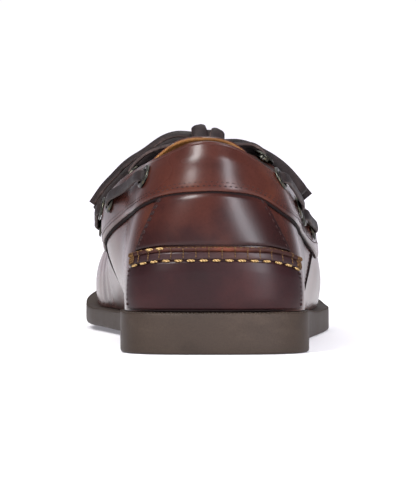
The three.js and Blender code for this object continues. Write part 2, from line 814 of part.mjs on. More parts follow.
// The way round at which the sole's edge reaches y
function wayTo(y) {
  let low = 0;
  let high = 1;
  for (let i = 0; i < 40; i += 1) {
    const half = (low + high) / 2;
    if (railStop(half).y < y) {
      low = half;
    } else {
      high = half;
    }
  }
  return (low + high) / 2;
}

const edgeLength = rail[RAIL_STEPS].length;
const bandEdge = r => BACK_HEIGHT - bandDrop(r.way, r.side);

// The collar band with its two facings, in one piece round the heel
const BAND_LINES = 31;
const BAND_SPOTS = 8;
const BAND_STRAIGHT = 0.3;
const FACING_CLEAR = 4;
function collarBand() {
  const lowEnd = wayTo(BAND_END);
  const highEnd = wayTo(BAND_END + BAND_SLANT);
  const grid = gridOf(2 * BAND_LINES, BAND_SPOTS, (along, up) => {
    const turn = along * 2 - 1;
    const way = Math.abs(turn) * lowEnd;
    const stretch = mix(1, (highEnd - BAND_STRAIGHT) / (lowEnd - BAND_STRAIGHT), up);
    const slanted = BAND_STRAIGHT + (way - BAND_STRAIGHT) * stretch;
    const w = (Math.sign(turn) || 1) * (way > BAND_STRAIGHT ? slanted : way);
    const fromEnd = (lowEnd - way) * edgeLength;
    const near = clamp(1 - fromEnd / BAND_CORNER, 0, 1);
    const corner = BAND_CORNER * (1 - Math.sqrt(1 - near * near)) / 2;
    const low = atHeight(w, bandEdge(rib(w)) + corner);
    const high = Math.min(ribTop(w), atGap(w, FACING_CLEAR + corner));
    return { w, t: mix(low, high, up) };
  });
  return slab(grid, BAND_SEAT, BAND_SEAT + BAND_THICKNESS);
}

// A panel over the heel, between two heights and as wide as named at its foot and its head
const PANEL_LINES = 18;
const PANEL_SPOTS = 4;
function heelPanel(lowWidth, highWidth, shift, bottom, top) {
  const grid = gridOf(PANEL_LINES, PANEL_SPOTS, (along, up) => {
    const half = mix(lowWidth, highWidth, up) / 2;
    const w = (shift + (along * 2 - 1) * half) / edgeLength;
    return { w, t: mix(atHeight(w, bottom(rib(w))), atHeight(w, top(rib(w))), up) };
  });
  return slab(grid, CLEARANCE, CLEARANCE + PANEL_THICKNESS);
}

const PANEL_GAP = 0.5;
const seamBottom = r => seamHeight(r.way, r.side) - SEAM_WIDTH / 2 - PANEL_GAP;
const seamTop = r => seamHeight(r.way, r.side) + SEAM_WIDTH / 2 + PANEL_GAP;
const panelTop = r => bandEdge(r) - PANEL_GAP;
const backPanel = () => heelPanel(BACK_PANEL_LOW, BACK_PANEL_HIGH, BACK_PANEL_SHIFT, seamTop, panelTop);
const counterFoot = r => r.base + PANEL_GAP;
const heelCounter = () => heelPanel(COUNTER_WIDTH, COUNTER_WIDTH, COUNTER_SHIFT, counterFoot, seamBottom);

// The place on one side whose surface point lies at y, at what "up" gives for a rib
function placeAt(side, y, up) {
  let low = 0.02;
  let high = 0.7;
  for (let i = 0; i < 40; i += 1) {
    const half = (low + high) / 2;
    if (skin(side * half, up(side * half)).y < y) {
      low = half;
    } else {
      high = half;
    }
  }
  const w = side * (low + high) / 2;
  return { w, t: up(w) };
}

function eyeletPlaces(side) {
  const key = side > 0 ? 'outer' : 'inner';
  return [
    ...SIDE_EYELETS.map(row => placeAt(side, row.y, w => atHeight(w, row[key] * BACK_HEIGHT))),
    ...THROAT_EYELETS.map(row => placeAt(side, row.y,
      w => atGap(w, row.gap * throatGap(Math.min(row.y, THROAT_FRONT - THROAT_CORNER))))),
  ];
}

const BAND_TOP = BAND_SEAT + BAND_THICKNESS;
const EYELET_TOP = BAND_TOP + EYELET_SEAT + EYELET_HEIGHT;
const LACE_MIDDLE = EYELET_TOP + LACE_SEAT + LACE_THICKNESS / 2;
const EYELET_SIDES = 10;
function eyelet(place) {
  const inner = EYELET_HOLE / 2;
  const outer = EYELET_OUTER / 2;
  const shape = [
    [inner, 0], [outer, 0], [outer * 0.9, EYELET_HEIGHT], [inner * 1.12, EYELET_HEIGHT], [inner, 0],
  ];
  const ring = new THREE.LatheGeometry(shape.map(([r, h]) => new THREE.Vector2(r, h)), EYELET_SIDES);
  const mesh = new THREE.Mesh(ring, brass);
  mesh.position.copy(shell(place.w, place.t, BAND_TOP + EYELET_SEAT));
  mesh.quaternion.setFromUnitVectors(new THREE.Vector3(0, 1, 0), skinNormal(place.w, place.t));
  return mesh;
}

// A flat strap along stations, each with its middle, its tangent and the outward face of the strap
const STRAP_CORNER = 0.35;
function strap(stations) {
  const mesher = new Mesher();
  const half = LACE_WIDTH / 2;
  const deep = LACE_THICKNESS / 2;
  const section = [
    [half, deep - STRAP_CORNER], [half - STRAP_CORNER, deep], [STRAP_CORNER - half, deep],
    [-half, deep - STRAP_CORNER], [-half, STRAP_CORNER - deep], [STRAP_CORNER - half, -deep],
    [half - STRAP_CORNER, -deep], [half, STRAP_CORNER - deep],
  ];
  const rings = stations.map(({ middle: centre, along, face }) => {
    const across = along.clone().cross(face).normalize();
    const out = across.clone().cross(along).normalize();
    return section.map(([a, b]) => mesher.add(
      centre.clone().addScaledVector(across, a).addScaledVector(out, b)));
  });
  for (let i = 0; i < rings.length - 1; i += 1) {
    mesher.bridge(rings[i + 1], rings[i], true);
  }
  const cap = (ring, turn) => {
    const loop = turn ? [...ring].reverse() : ring;
    for (let i = 1; i < loop.length - 1; i += 1) {
      mesher.triangle(loop[0], loop[i], loop[i + 1]);
    }
  };
  cap(rings[0], false);
  cap(rings[rings.length - 1], true);
  return mesher.geometry();
}

// Stations along a curve through points, with the strap's face or its width turned away from the hub,
// a line along the shoe at the height LACE_HUB
function stationsAlong(points, steps, standing) {
  const curve = new THREE.CatmullRomCurve3(points);
  const stations = [];
  for (let i = 0; i <= steps; i += 1) {
    const centre = curve.getPointAt(i / steps);
    const along = curve.getTangentAt(i / steps);
    const away = new THREE.Vector3(centre.x, 0, centre.z - LACE_HUB).normalize();
    const face = standing ? away.clone().cross(along).normalize() : away;
    stations.push({ middle: centre, along, face });
  }
  return stations;
}

const RUN_STEPS = 6;
function sideRun(from, to) {
  const points = [];
  for (let i = 0; i <= RUN_STEPS; i += 1) {
    points.push(shell(mix(from.w, to.w, i / RUN_STEPS), mix(from.t, to.t, i / RUN_STEPS), LACE_MIDDLE));
  }
  const curve = new THREE.CatmullRomCurve3(points);
  return strap(points.map((middle, i) => ({
    middle,
    along: curve.getTangent(i / RUN_STEPS),
    face: skinNormal(mix(from.w, to.w, i / RUN_STEPS), mix(from.t, to.t, i / RUN_STEPS)),
  })));
}

// A place above the throat or its facings: beside the middle by a share of the throat's gap
function overThroat(side, y, share, out) {
  const w = side * wayToCrest(y);
  return shell(w, atGap(w, share * throatGap(Math.min(y, THROAT_FRONT - THROAT_CORNER))), out);
}

// The bar from facing to facing
const BAR_REST = 0.9;
const BAR_LIFT = 0.25;
const EDGE_CLEAR = BAND_TOP + LACE_SEAT + LACE_THICKNESS / 2;
function bar() {
  const y = THROAT_EYELETS[1].y;
  const half = side => [
    overThroat(side, y, THROAT_EYELETS[1].gap, LACE_MIDDLE + BAR_LIFT),
    overThroat(side, y, 1.45, LACE_MIDDLE + BAR_REST),
    overThroat(side, y, 0.8, EDGE_CLEAR + BAR_REST),
  ];
  const points = [...half(-1), overThroat(1, y, 0, EDGE_CLEAR), ...half(1).reverse()];
  return strap(stationsAlong(points, 2 * RUN_STEPS, false));
}

const onSide = (side, route) => route.map(([x, y, z]) => new THREE.Vector3(side * x, y, z));
const TAIL_STEPS = 12;
const LOOP_STEPS = 19;
const tail = (side, route, standing) => strap(stationsAlong(onSide(side, route), TAIL_STEPS, standing));

// The short stretch from the first eyelet beside the throat up to the knot
function stretchToKnot(side) {
  const start = overThroat(side, THROAT_EYELETS[0].y, THROAT_EYELETS[0].gap, LACE_MIDDLE);
  const rise = overThroat(side, THROAT_EYELETS[0].y + 1, 1.5, LACE_MIDDLE + BAR_REST);
  return strap(stationsAlong([start, rise, ...onSide(side, STRETCH)], RUN_STEPS, false));
}

// A loop goes out along its route, turns, and comes back beside itself, further towards the toe
function loop(side, route) {
  const out = onSide(side, route);
  const tip = out[out.length - 1];
  const before = out[out.length - 2];
  const reach = tip.clone().sub(before).normalize().multiplyScalar(LOOP_OPENING / 3);
  const turn = tip.clone().add(reach).add(new THREE.Vector3(0, LOOP_OPENING / 2, 0));
  const back = [...out].reverse().map(point => point.clone().add(new THREE.Vector3(0, LOOP_OPENING, 0)));
  return strap(stationsAlong([...out, turn, ...back], LOOP_STEPS, true));
}

// The knot: two rounded lumps side by side
const KNOT_WAIST = 0.12;
function knot() {
  const ball = new THREE.SphereGeometry(1, 16, 10);
  const spots = ball.attributes.position;
  for (let i = 0; i < spots.count; i += 1) {
    const x = spots.getX(i);
    const swell = 1 - KNOT_WAIST * Math.cos(Math.PI * x) - KNOT_WAIST;
    spots.setXYZ(i, x * KNOT_WIDTH / 2, spots.getY(i) * KNOT_DEPTH / 2 * swell,
      spots.getZ(i) * KNOT_HEIGHT / 2 * swell);
  }
  ball.translate(0, KNOT_Y, crestHeight(KNOT_Y / LENGTH) - WALL - TONGUE_ROOM + CLEARANCE + KNOT_HEIGHT / 2);
  return ball;
}

function named(name, geometry, material) {
  const mesh = new THREE.Mesh(geometry, material);
  mesh.name = name;
  return mesh;
}

const shoe = new THREE.Group();
shoe.add(
  named('outsole', outsole(), rubber),
  named('insole', insole(), lining),
  named('upper', upper(), leather),
  named('tongue', tongue(), lining),
  named('collar_band', collarBand(), leather),
  named('back_panel', backPanel(), leather),
  named('heel_counter', heelCounter(), darkLeather),
  named('lace_bar', bar(), rawhide),
  named('lace_knot', knot(), rawhide),
);
for (const [side, word, tailRoute, loopRoute] of [
  [1, 'outer', OUTER_TAIL, OUTER_LOOP],
  [-1, 'inner', INNER_TAIL, INNER_LOOP],
]) {
  const places = eyeletPlaces(side);
  places.forEach((place, i) => {
    const ring = eyelet(place);
    ring.name = `eyelet_${word}_${i + 1}`;
    shoe.add(ring);
  });
  shoe.add(
    named(`lace_run_${word}_1`, sideRun(places[0], places[1]), rawhide),
    named(`lace_run_${word}_2`, sideRun(places[2], places[3]), rawhide),
    named(`lace_stretch_${word}`, stretchToKnot(side), rawhide),
    named(`lace_tail_${word}`, tail(side, tailRoute, side > 0), rawhide),
    named(`lace_loop_${word}`, loop(side, loopRoute), rawhide),
  );
}
shoe.position.y = -HEEL_CENTRE;

export default shoe;
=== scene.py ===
"""The looks of a right boat shoe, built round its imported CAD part.

Lengths are in millimetres and y runs from the back of the heel, as in the part's own source, until
mesh_piece() turns them into metres in the part's frame. A place on the upper is (w, t): w goes round the
shoe, 0 at the back of the heel and +1 or -1 at the toe by the outer or inner side, and t goes up each
rib, from 0 at the foot to 1 at the crest.
"""

import math
from types import SimpleNamespace

import bmesh
import bpy
import numpy as np
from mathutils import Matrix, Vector


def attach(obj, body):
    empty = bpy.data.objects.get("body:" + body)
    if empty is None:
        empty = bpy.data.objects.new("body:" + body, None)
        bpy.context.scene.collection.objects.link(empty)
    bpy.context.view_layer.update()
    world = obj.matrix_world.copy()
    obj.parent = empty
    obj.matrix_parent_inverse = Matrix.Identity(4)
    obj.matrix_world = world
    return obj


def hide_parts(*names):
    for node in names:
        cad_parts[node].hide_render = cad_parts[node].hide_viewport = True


MM = 0.001

# The part's driving dimensions
LENGTH = 298
HEEL_WIDTH = 77
BALL_WIDTH = 110.5
HEEL_THICKNESS = 16.8
ARCH_LIFT = 2.6
EDGE_CURL = 2.2
TOE_SPRING = 11.3
TOE_SWING = 7
HEEL_CORNER = 28
TOE_CORNER = 80
HEEL_CENTRE = 38
WALL = 2.2
WELT = 4
BACK_HEIGHT = 86
INSTEP_HEIGHT = 84
TOE_HEIGHT = 46
SPRING_OF_SIDES = 12
COLLAR_LEAN = 3.5
CREST_BACK = 38
CREST_FRONT = 45
THROAT_FRONT = 162
THROAT_GAP = 11
THROAT_CORNER = 9
SEAM_HEIGHT = 40.7
SEAM_WIDTH = 5.4
SEAM_PROUD = 2.2
TOE_SEAM_HEIGHT = 42.5
CLEARANCE = 0.3
BAND_SEAT = 0.65
BAND_THICKNESS = 1.6
BAND_HEIGHT = 20.7
BAND_END = 148
BAND_SLANT = 16
BAND_CORNER = 9
PANEL_THICKNESS = 1.3
BACK_PANEL_LOW = 73
BACK_PANEL_HIGH = 53.3
BACK_PANEL_SHIFT = -1.7
COUNTER_WIDTH = 83
COUNTER_SHIFT = -1.1
INSOLE_THICKNESS = 3
TONGUE_ROOM = 0.8
TONGUE_THICKNESS = 2
TONGUE_WIDTH = 40
TONGUE_BACK = 110
TONGUE_FRONT = 186
EYELET_OUTER = 10
EYELET_HOLE = 5.6
EYELET_HEIGHT = 0.9
EYELET_SEAT = 0.4
LACE_SEAT = 0.35
LACE_WIDTH = 4.7
LACE_THICKNESS = 1.8
KNOT_HEIGHT = 17
KNOT_Y = 140


def table(names, rows, **sizes):
    """A table's columns as arrays, those named in sizes turned from shares into millimetres."""
    columns = dict(zip(names.split(), np.array(rows, float).T))
    for name, size in sizes.items():
        columns[name] = columns[name] * size
    return columns


def joined(first, second):
    return {name: np.concatenate([first[name], second[name]]) for name in first}


SOLE_WIDTHS = joined(
    table("at outer inner", [
        (0.00, 0.490, 0.490),
        (0.10, 0.500, 0.500),
        (0.20, 0.500, 0.490),
        (0.30, 0.520, 0.463),
    ], outer=HEEL_WIDTH, inner=HEEL_WIDTH),
    table("at outer inner", [
        (0.39, 0.389, 0.312),
        (0.50, 0.439, 0.356),
        (0.60, 0.494, 0.411),
        (0.68, 0.532, 0.448),
        (0.75, 0.537, 0.452),
        (0.85, 0.512, 0.429),
        (0.94, 0.440, 0.380),
        (1.00, 0.400, 0.340),
    ], outer=BALL_WIDTH, inner=BALL_WIDTH),
)
SOLE_PROFILE = table("at thick arch spring curl", [
    (0.00, 1.000, 0.00, 0.00, 0.0),
    (0.10, 0.990, 0.00, 0.00, 0.0),
    (0.22, 0.900, 0.00, 0.00, 0.0),
    (0.30, 0.720, 0.62, 0.00, 0.0),
    (0.38, 0.590, 1.00, 0.00, 0.0),
    (0.46, 0.590, 0.54, 0.00, 0.4),
    (0.53, 0.620, 0.00, 0.00, 0.9),
    (0.66, 0.610, 0.00, 0.00, 1.0),
    (0.72, 0.590, 0.00, 0.05, 0.8),
    (0.80, 0.580, 0.00, 0.28, 0.4),
    (0.90, 0.590, 0.00, 0.63, 0.1),
    (1.00, 0.600, 0.00, 1.00, 0.0),
], thick=HEEL_THICKNESS, arch=ARCH_LIFT, spring=TOE_SPRING, curl=EDGE_CURL)
FEATHER = table("at inset", [
    (0.00, 0.65),
    (0.10, 0.55),
    (0.30, 0.65),
    (0.50, 1.00),
    (0.68, 1.25),
    (0.85, 1.15),
    (1.00, 1.00),
], inset=WELT)
CREST = joined(
    table("at height", [
        (0.128, 1.238),
        (0.250, 1.190),
        (0.350, 1.095),
        (0.400, 1.052),
        (0.440, 1.000),
        (0.500, 0.911),
    ], height=INSTEP_HEIGHT),
    table("at height", [
        (0.570, 1.480),
        (0.655, 1.280),
        (0.740, 1.125),
        (0.805, 1.043),
        (0.850, 1.000),
    ], height=TOE_HEIGHT),
)
FULLNESS = table("at power outer inner pinch", [
    (0.00, 3.0, 0.10, 0.10, 0.42),
    (0.10, 2.9, 0.10, 0.12, 0.54),
    (0.15, 2.8, 0.10, 0.20, 0.38),
    (0.22, 2.8, 0.12, 0.62, 0.14),
    (0.33, 2.6, 0.22, 1.16, 0.00),
    (0.40, 2.5, 0.36, 1.18, 0.00),
    (0.50, 2.4, 0.42, 0.85, 0.00),
    (0.60, 2.2, 0.38, 0.45, 0.00),
    (0.68, 2.2, 0.32, 0.26, 0.00),
    (0.80, 2.4, 0.17, 0.15, 0.00),
    (1.00, 2.5, 0.13, 0.13, 0.00),
], outer=SPRING_OF_SIDES, inner=SPRING_OF_SIDES)
TOPLINE = table("at outer inner", [
    (0.00, 0.988, 0.988),
    (0.01, 0.985, 0.989),
    (0.02, 0.979, 0.987),
    (0.04, 0.963, 0.977),
    (0.06, 0.936, 0.956),
    (0.08, 0.900, 0.934),
    (0.10, 0.866, 0.916),
    (0.15, 0.818, 0.889),
    (0.20, 0.795, 0.866),
    (0.25, 0.774, 0.818),
    (0.30, 0.745, 0.758),
    (0.35, 0.710, 0.713),
    (0.39, 0.702, 0.706),
    (0.43, 0.775, 0.780),
    (0.46, 0.890, 0.895),
    (0.49, 1.050, 1.050),
], outer=BACK_HEIGHT, inner=BACK_HEIGHT)
BAND_EDGE = table("at outer inner", [
    (0.00, 1.00, 1.00),
    (0.04, 1.05, 1.03),
    (0.07, 1.16, 1.09),
    (0.10, 1.40, 1.20),
    (0.15, 1.62, 1.39),
    (0.20, 1.70, 1.51),
    (0.25, 1.77, 1.70),
    (0.30, 1.87, 1.90),
    (0.35, 2.00, 2.08),
    (0.40, 2.18, 2.19),
    (0.50, 2.60, 2.42),
], outer=BAND_HEIGHT, inner=BAND_HEIGHT)
SEAM = joined(
    table("at outer inner raised", [
        (0.000, 1.000, 1.000, 1),
        (0.060, 0.985, 0.990, 1),
        (0.090, 0.940, 0.960, 1),
        (0.115, 0.880, 0.920, 1),
        (0.125, 0.875, 0.915, 0),
        (0.350, 0.900, 0.900, 0),
    ], outer=SEAM_HEIGHT, inner=SEAM_HEIGHT),
    table("at outer inner raised", [
        (0.540, 1.110, 1.110, 0),
        (0.580, 1.130, 1.130, 0),
        (0.605, 1.125, 1.125, 1),
        (0.680, 1.090, 1.090, 1),
        (0.820, 1.030, 1.030, 1),
        (1.000, 1.000, 1.000, 1),
    ], outer=TOE_SEAM_HEIGHT, inner=TOE_SEAM_HEIGHT),
)
SIDE_EYELETS = [
    {"y": 24, 1: 0.805, -1: 0.817},
    {"y": 70, 1: 0.668, -1: 0.695},
    {"y": 92, 1: 0.624, -1: 0.655},
    {"y": 125, 1: 0.545, -1: 0.565},
]
THROAT_EYELETS = [{"y": 133, "gap": 1.85}, {"y": 155, "gap": 1.85}]

# The lace's free ends and loops, as in the part: x outwards from the knot, y and z, by side
TAILS = {
    -1: [
        (6.9, 141.6, 88.4), (14, 141.6, 88.6), (19.6, 141.6, 86.8), (27.6, 141.6, 81.3),
        (35.7, 141.6, 76.0), (41.7, 141.6, 70.0), (45.9, 141.6, 65.5), (50.9, 141.6, 58.3),
    ],
    1: [
        (10.6, 148.9, 82.7), (14, 148.9, 81.5), (20, 148.9, 78.8), (29, 148.9, 74.4), (36.5, 148.9, 69.2),
        (41.0, 148.9, 64.7), (44.2, 148.9, 61.0),
    ],
}
LOOPS = {
    -1: [
        (7.8, 140.5, 84.6), (12.9, 140.5, 85.2), (17.3, 140.5, 84.1), (25.4, 140.5, 78.6),
        (33.1, 140.5, 73.7), (38.7, 140.5, 68.0), (42.6, 140.5, 63.9), (47.2, 140.5, 57.2),
    ],
    1: [
        (7.8, 140.5, 84.2), (13.1, 140.5, 84.1), (18.4, 140.5, 82.7), (24.6, 140.5, 79.5),
        (30.6, 140.5, 75.7), (34.8, 140.5, 71.9), (38.0, 140.5, 68.3), (40.6, 140.5, 64.9),
    ],
}
LOOP_OPENING = 5.6
STRETCH = [(13.5, 135.5, 84.2), (7.8, 136.3, 83.8)]
LACE_HUB = 20
SIDES = ((1, "outer"), (-1, "inner"))


def mix(a, b, share):
    return a + (b - a) * share


def ease(share):
    return share * share * (3 - 2 * share)


def smooth_step(low, high, value):
    return ease(np.clip((value - low) / (high - low), 0, 1))


def unit(vectors):
    return vectors / np.maximum(np.linalg.norm(vectors, axis=-1, keepdims=True), 1e-12)


def spline(columns, key):
    """A natural cubic spline through one column, held flat past its ends."""
    x, y = columns["at"], columns[key]
    span, rise = np.diff(x), np.diff(y)
    count = len(x)
    system = np.eye(count)
    turns = np.zeros(count)
    for i in range(1, count - 1):
        system[i, i - 1:i + 2] = span[i - 1], 2 * (span[i - 1] + span[i]), span[i]
        turns[i] = 6 * (rise[i] / span[i] - rise[i - 1] / span[i - 1])
    bend = np.linalg.solve(system, turns)

    def value(at):
        place = np.clip(at, x[0], x[-1])
        i = np.clip(np.searchsorted(x, place, side="left") - 1, 0, count - 2)
        b = (place - x[i]) / span[i]
        a = 1 - b
        curve = ((a ** 3 - a) * bend[i] + (b ** 3 - b) * bend[i + 1]) * span[i] ** 2 / 6
        return a * y[i] + b * y[i + 1] + curve

    return value


def profile(columns, key):
    """A curve through one column that never swings past its rows."""
    x, y = columns["at"], columns[key]
    slope = np.diff(y) / np.diff(x)
    tangent = np.zeros(len(x))
    same = slope[:-1] * slope[1:] > 0
    total = np.where(same, slope[:-1] + slope[1:], 1)
    tangent[1:-1] = np.where(same, 2 * slope[:-1] * slope[1:] / total, 0)

    def value(at):
        place = np.clip(at, x[0], x[-1])
        i = np.clip(np.searchsorted(x, place, side="left") - 1, 0, len(x) - 2)
        span = x[i + 1] - x[i]
        s = (place - x[i]) / span
        start = (1 + 2 * s) * (1 - s) ** 2 * y[i] + s * (1 - s) ** 2 * span * tangent[i]
        end = s * s * (3 - 2 * s) * y[i + 1] + s * s * (s - 1) * span * tangent[i + 1]
        return start + end

    return value


def sided(columns, curve):
    """Both sides of the shoe as one function of the place and of the side, +1 outer and -1 inner."""
    outer, inner = curve(columns, "outer"), curve(columns, "inner")
    return lambda at, side: np.where(side > 0, outer(at), inner(at))


half_width = sided(SOLE_WIDTHS, spline)
sole_thickness = profile(SOLE_PROFILE, "thick")
arch_lift = profile(SOLE_PROFILE, "arch")
toe_lift = profile(SOLE_PROFILE, "spring")
edge_curl = profile(SOLE_PROFILE, "curl")
feather_inset = spline(FEATHER, "inset")
crest_height = spline(CREST, "height")
fullness = spline(FULLNESS, "power")
collar_pinch = profile(FULLNESS, "pinch")
side_spring = sided(FULLNESS, spline)
topline = sided(TOPLINE, spline)
band_drop = sided(BAND_EDGE, spline)
seam_height = sided(SEAM, profile)


def seam_raised(way):
    """How far the raised seam stands up at a place, as a share, easing from row to row."""
    x, y = SEAM["at"], SEAM["raised"]
    i = np.clip(np.searchsorted(x, way, side="left") - 1, 0, len(x) - 2)
    return mix(y[i], y[i + 1], ease(np.clip((way - x[i]) / (x[i + 1] - x[i]), 0, 1)))


def sole_bottom(y):
    return arch_lift(y / LENGTH) + toe_lift(y / LENGTH)


def sole_top(y):
    return sole_bottom(y) + sole_thickness(y / LENGTH)


def tread_rim(y, side):
    inner = arch_lift(y / LENGTH) + edge_curl(y / LENGTH)
    return toe_lift(y / LENGTH) + np.where(side > 0, 0, inner)


SWING_START = 0.45
HEEL_POWER = 3
TOE_POWER = 2.5


def middle(y):
    share = np.clip((y / LENGTH - SWING_START) / (1 - SWING_START), 0, 1)
    return -TOE_SWING * share ** 3 * (10 - 15 * share + 6 * share * share)


def end_rounding(y):
    heel = np.clip(1 - y / HEEL_CORNER, 0, 1)
    toe = np.clip(1 - (LENGTH - y) / TOE_CORNER, 0, 1)
    return (1 - heel ** HEEL_POWER) ** (1 / HEEL_POWER) * (1 - toe ** TOE_POWER) ** (1 / TOE_POWER)


RAIL_STEPS = 900
rail_y = LENGTH * (1 - np.cos(np.pi * np.arange(RAIL_STEPS + 1) / RAIL_STEPS)) / 2
rail_round = end_rounding(rail_y)
rail_half = rail_round * (half_width(rail_y / LENGTH, 1) + half_width(rail_y / LENGTH, -1)) / 2
rail_length = np.concatenate([[0], np.cumsum(np.hypot(np.diff(rail_half), np.diff(rail_y)))])
EDGE_LENGTH = rail_length[-1]


def sole_edge(w):
    w = np.where(w > 1, w - 2, np.where(w < -1, w + 2, w))
    side = np.where(w < 0, -1, 1)
    y = np.interp(np.abs(w) * EDGE_LENGTH, rail_length, rail_y)
    rounding = np.interp(np.abs(w) * EDGE_LENGTH, rail_length, rail_round)
    return np.stack([middle(y) + side * rounding * half_width(y / LENGTH, side), y], -1)


def inset_edge(w, inset):
    reach = 0.004
    along = unit(sole_edge(w + reach) - sole_edge(w - reach))
    across = np.stack([-along[..., 1], along[..., 0]], -1)
    return sole_edge(w) + across * np.asarray(inset)[..., None]


CORNER_GONE = 0.8
LEAN_END = 0.62


def corner_of(foot):
    spot = foot - np.array([0, CREST_BACK])
    across = HEEL_WIDTH / 2 - FEATHER["inset"][1]
    along = CREST_BACK - FEATHER["inset"][0]
    ray = unit(spot)
    far = np.linalg.norm(spot, axis=-1) - 1 / np.hypot(ray[..., 0] / across, ray[..., 1] / along)
    return np.where(spot[..., 1] < 0, np.maximum(far, 0), 0)


def rib(w):
    """What one rib of the upper is drawn from, for any array of places round the shoe."""
    w = np.asarray(w, float)
    side = np.where(w < 0, -1, 1)
    edge_y = sole_edge(w)[..., 1]
    share = edge_y / LENGTH
    foot = inset_edge(w, feather_inset(share))
    crest_y = mix(CREST_BACK, LENGTH - CREST_FRONT, share)
    crest = np.stack([middle(crest_y), crest_y], -1)
    base = sole_top(foot[..., 1]) + CLEARANCE
    lean = COLLAR_LEAN * ease(np.clip((LEAN_END - share) / (LEAN_END / 2), 0, 1))
    return SimpleNamespace(
        side=side, way=np.abs(w), share=share, foot=foot, crest_y=crest_y, base=base, lean=lean,
        reach=np.linalg.norm(crest - foot, axis=-1), inward=unit(crest - foot),
        power=fullness(share), pinch=collar_pinch(share), spring=side_spring(share, side),
        corner=corner_of(foot), rise=crest_height(crest_y / LENGTH) - base)


def skin(w, t):
    """Points of the outer surface."""
    r = rib(w)
    turn = t * np.pi / 2
    in_share = 1 - np.maximum(np.cos(turn), 0) ** (2 / r.power)
    up_share = np.sin(turn) ** (2 / r.power)
    bulge = r.spring * np.sin(np.pi * up_share)
    rounding = r.corner * ease(np.clip(up_share / CORNER_GONE, 0, 1)) * (1 - in_share)
    travel = r.reach * in_share - bulge + rounding
    x = (r.foot[..., 0] + r.inward[..., 0] * travel) * (1 - r.pinch * up_share ** 2)
    return np.stack([x - r.lean * up_share ** 2, r.foot[..., 1] + r.inward[..., 1] * travel,
                     r.base + r.rise * up_share], -1)


def normal(w, t):
    small = 0.003
    along = skin(w + small, t) - skin(w - small, t)
    up = skin(w, np.minimum(t + small, 1)) - skin(w, np.maximum(t - small, 0))
    result = unit(np.cross(along, up))
    y = rib(w).crest_y
    slope = crest_height((y + 1) / LENGTH) - crest_height((y - 1) / LENGTH)
    top = unit(np.stack([0 * y, -slope / 2, 1 + 0 * y], -1))
    return np.where((t > 1 - small)[..., None], top, result)


def shell(w, t, out):
    """Points at a distance out from the outer surface, or in from it when that is negative."""
    w, t = np.broadcast_arrays(np.asarray(w, float), np.asarray(t, float))
    away = normal(w, t)
    foot = away * np.array([1, 1, 0])
    away = np.where((t == 0)[..., None], unit(foot), away)
    return skin(w, t) + away * np.asarray(out)[..., None]


def turn_of(share):
    return np.arcsin(np.clip(share, 0, 1)) * 2 / np.pi


def at_height(w, height):
    r = rib(w)
    return turn_of(np.clip((height - r.base) / r.rise, 0, 1) ** (r.power / 2))


def at_gap(w, gap):
    r = rib(w)
    return 1 - turn_of(np.clip(gap / r.reach, 0, 1) ** (r.power / 2))


THROAT_FLARE = 0.045
CORNER_SOFTNESS = 0.03


def throat_gap(y):
    near = np.clip(1 - (THROAT_FRONT - y) / THROAT_CORNER, 0, 1)
    gap = (THROAT_GAP + (THROAT_FRONT - y) * THROAT_FLARE) * np.sqrt(1 - near * near)
    return np.where(y >= THROAT_FRONT, 0, gap)


def rib_top(w):
    """Where each rib stops: at the collar, at the edge of a facing, or at the crest."""
    r = rib(w)
    collar = at_height(w, topline(r.way, r.side))
    facing = at_gap(w, throat_gap(r.crest_y))
    h = np.clip(0.5 + (facing - collar) / (2 * CORNER_SOFTNESS), 0, 1)
    soft = mix(facing, collar, h) - CORNER_SOFTNESS * h * (1 - h)
    return np.where(r.crest_y >= THROAT_FRONT - 1e-6, 1, np.minimum(soft, facing))


def way_to_crest(y):
    share = (np.asarray(y, float) - CREST_BACK) / (LENGTH - CREST_FRONT - CREST_BACK)
    return np.interp(share * LENGTH, rail_y, rail_length) / EDGE_LENGTH


def way_to(y):
    return np.interp(y, rail_y, rail_length) / EDGE_LENGTH


def band_edge(w):
    r = rib(w)
    return BACK_HEIGHT - band_drop(r.way, r.side)


def place_at(side, y, up):
    """The place on one side whose surface point lies at y, at what up gives for a place round."""
    ways = np.linspace(0.02, 0.7, 400)
    found = skin(side * ways, up(side * ways))[:, 1]
    w = side * np.interp(y, found, ways)
    return float(w), float(up(np.array(w)))


def eyelet_places(side):
    places = [place_at(side, row["y"], lambda w, row=row: at_height(w, row[side] * BACK_HEIGHT))
              for row in SIDE_EYELETS]
    for row in THROAT_EYELETS:
        gap = row["gap"] * throat_gap(min(row["y"], THROAT_FRONT - THROAT_CORNER))
        places.append(place_at(side, row["y"], lambda w, gap=gap: at_gap(w, gap)))
    return places


def add(name, data):
    thing = bpy.data.objects.new(name, data)
    bpy.context.scene.collection.objects.link(thing)
    return thing


def mesh_piece(name, points, faces, materials, slot, slots=None, smooth=True, sharp=None, node=None):
    """A piece from points in millimetres, with y from the back of the heel. With sharp, doubled points are
    merged and only edges above that angle stay crisp. node is the solid that the piece stands for."""
    placed = (np.asarray(points, float).reshape(-1, 3) - np.array([0, HEEL_CENTRE, 0])) * MM
    mesh = bpy.data.meshes.new(name)
    mesh.from_pydata(placed.tolist(), [], [tuple(int(i) for i in face) for face in faces])
    for material in materials:
        mesh.materials.append(material)
    if slots is not None:
        mesh.polygons.foreach_set("material_index", np.asarray(slots, np.int32))
    mesh.polygons.foreach_set("use_smooth", [smooth] * len(mesh.polygons))
    mesh.validate()
    piece = add(name, mesh)
    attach(piece, "root")
    if sharp:
        tidy(mesh, sharp)
    if node:
        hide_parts(node)
    return piece


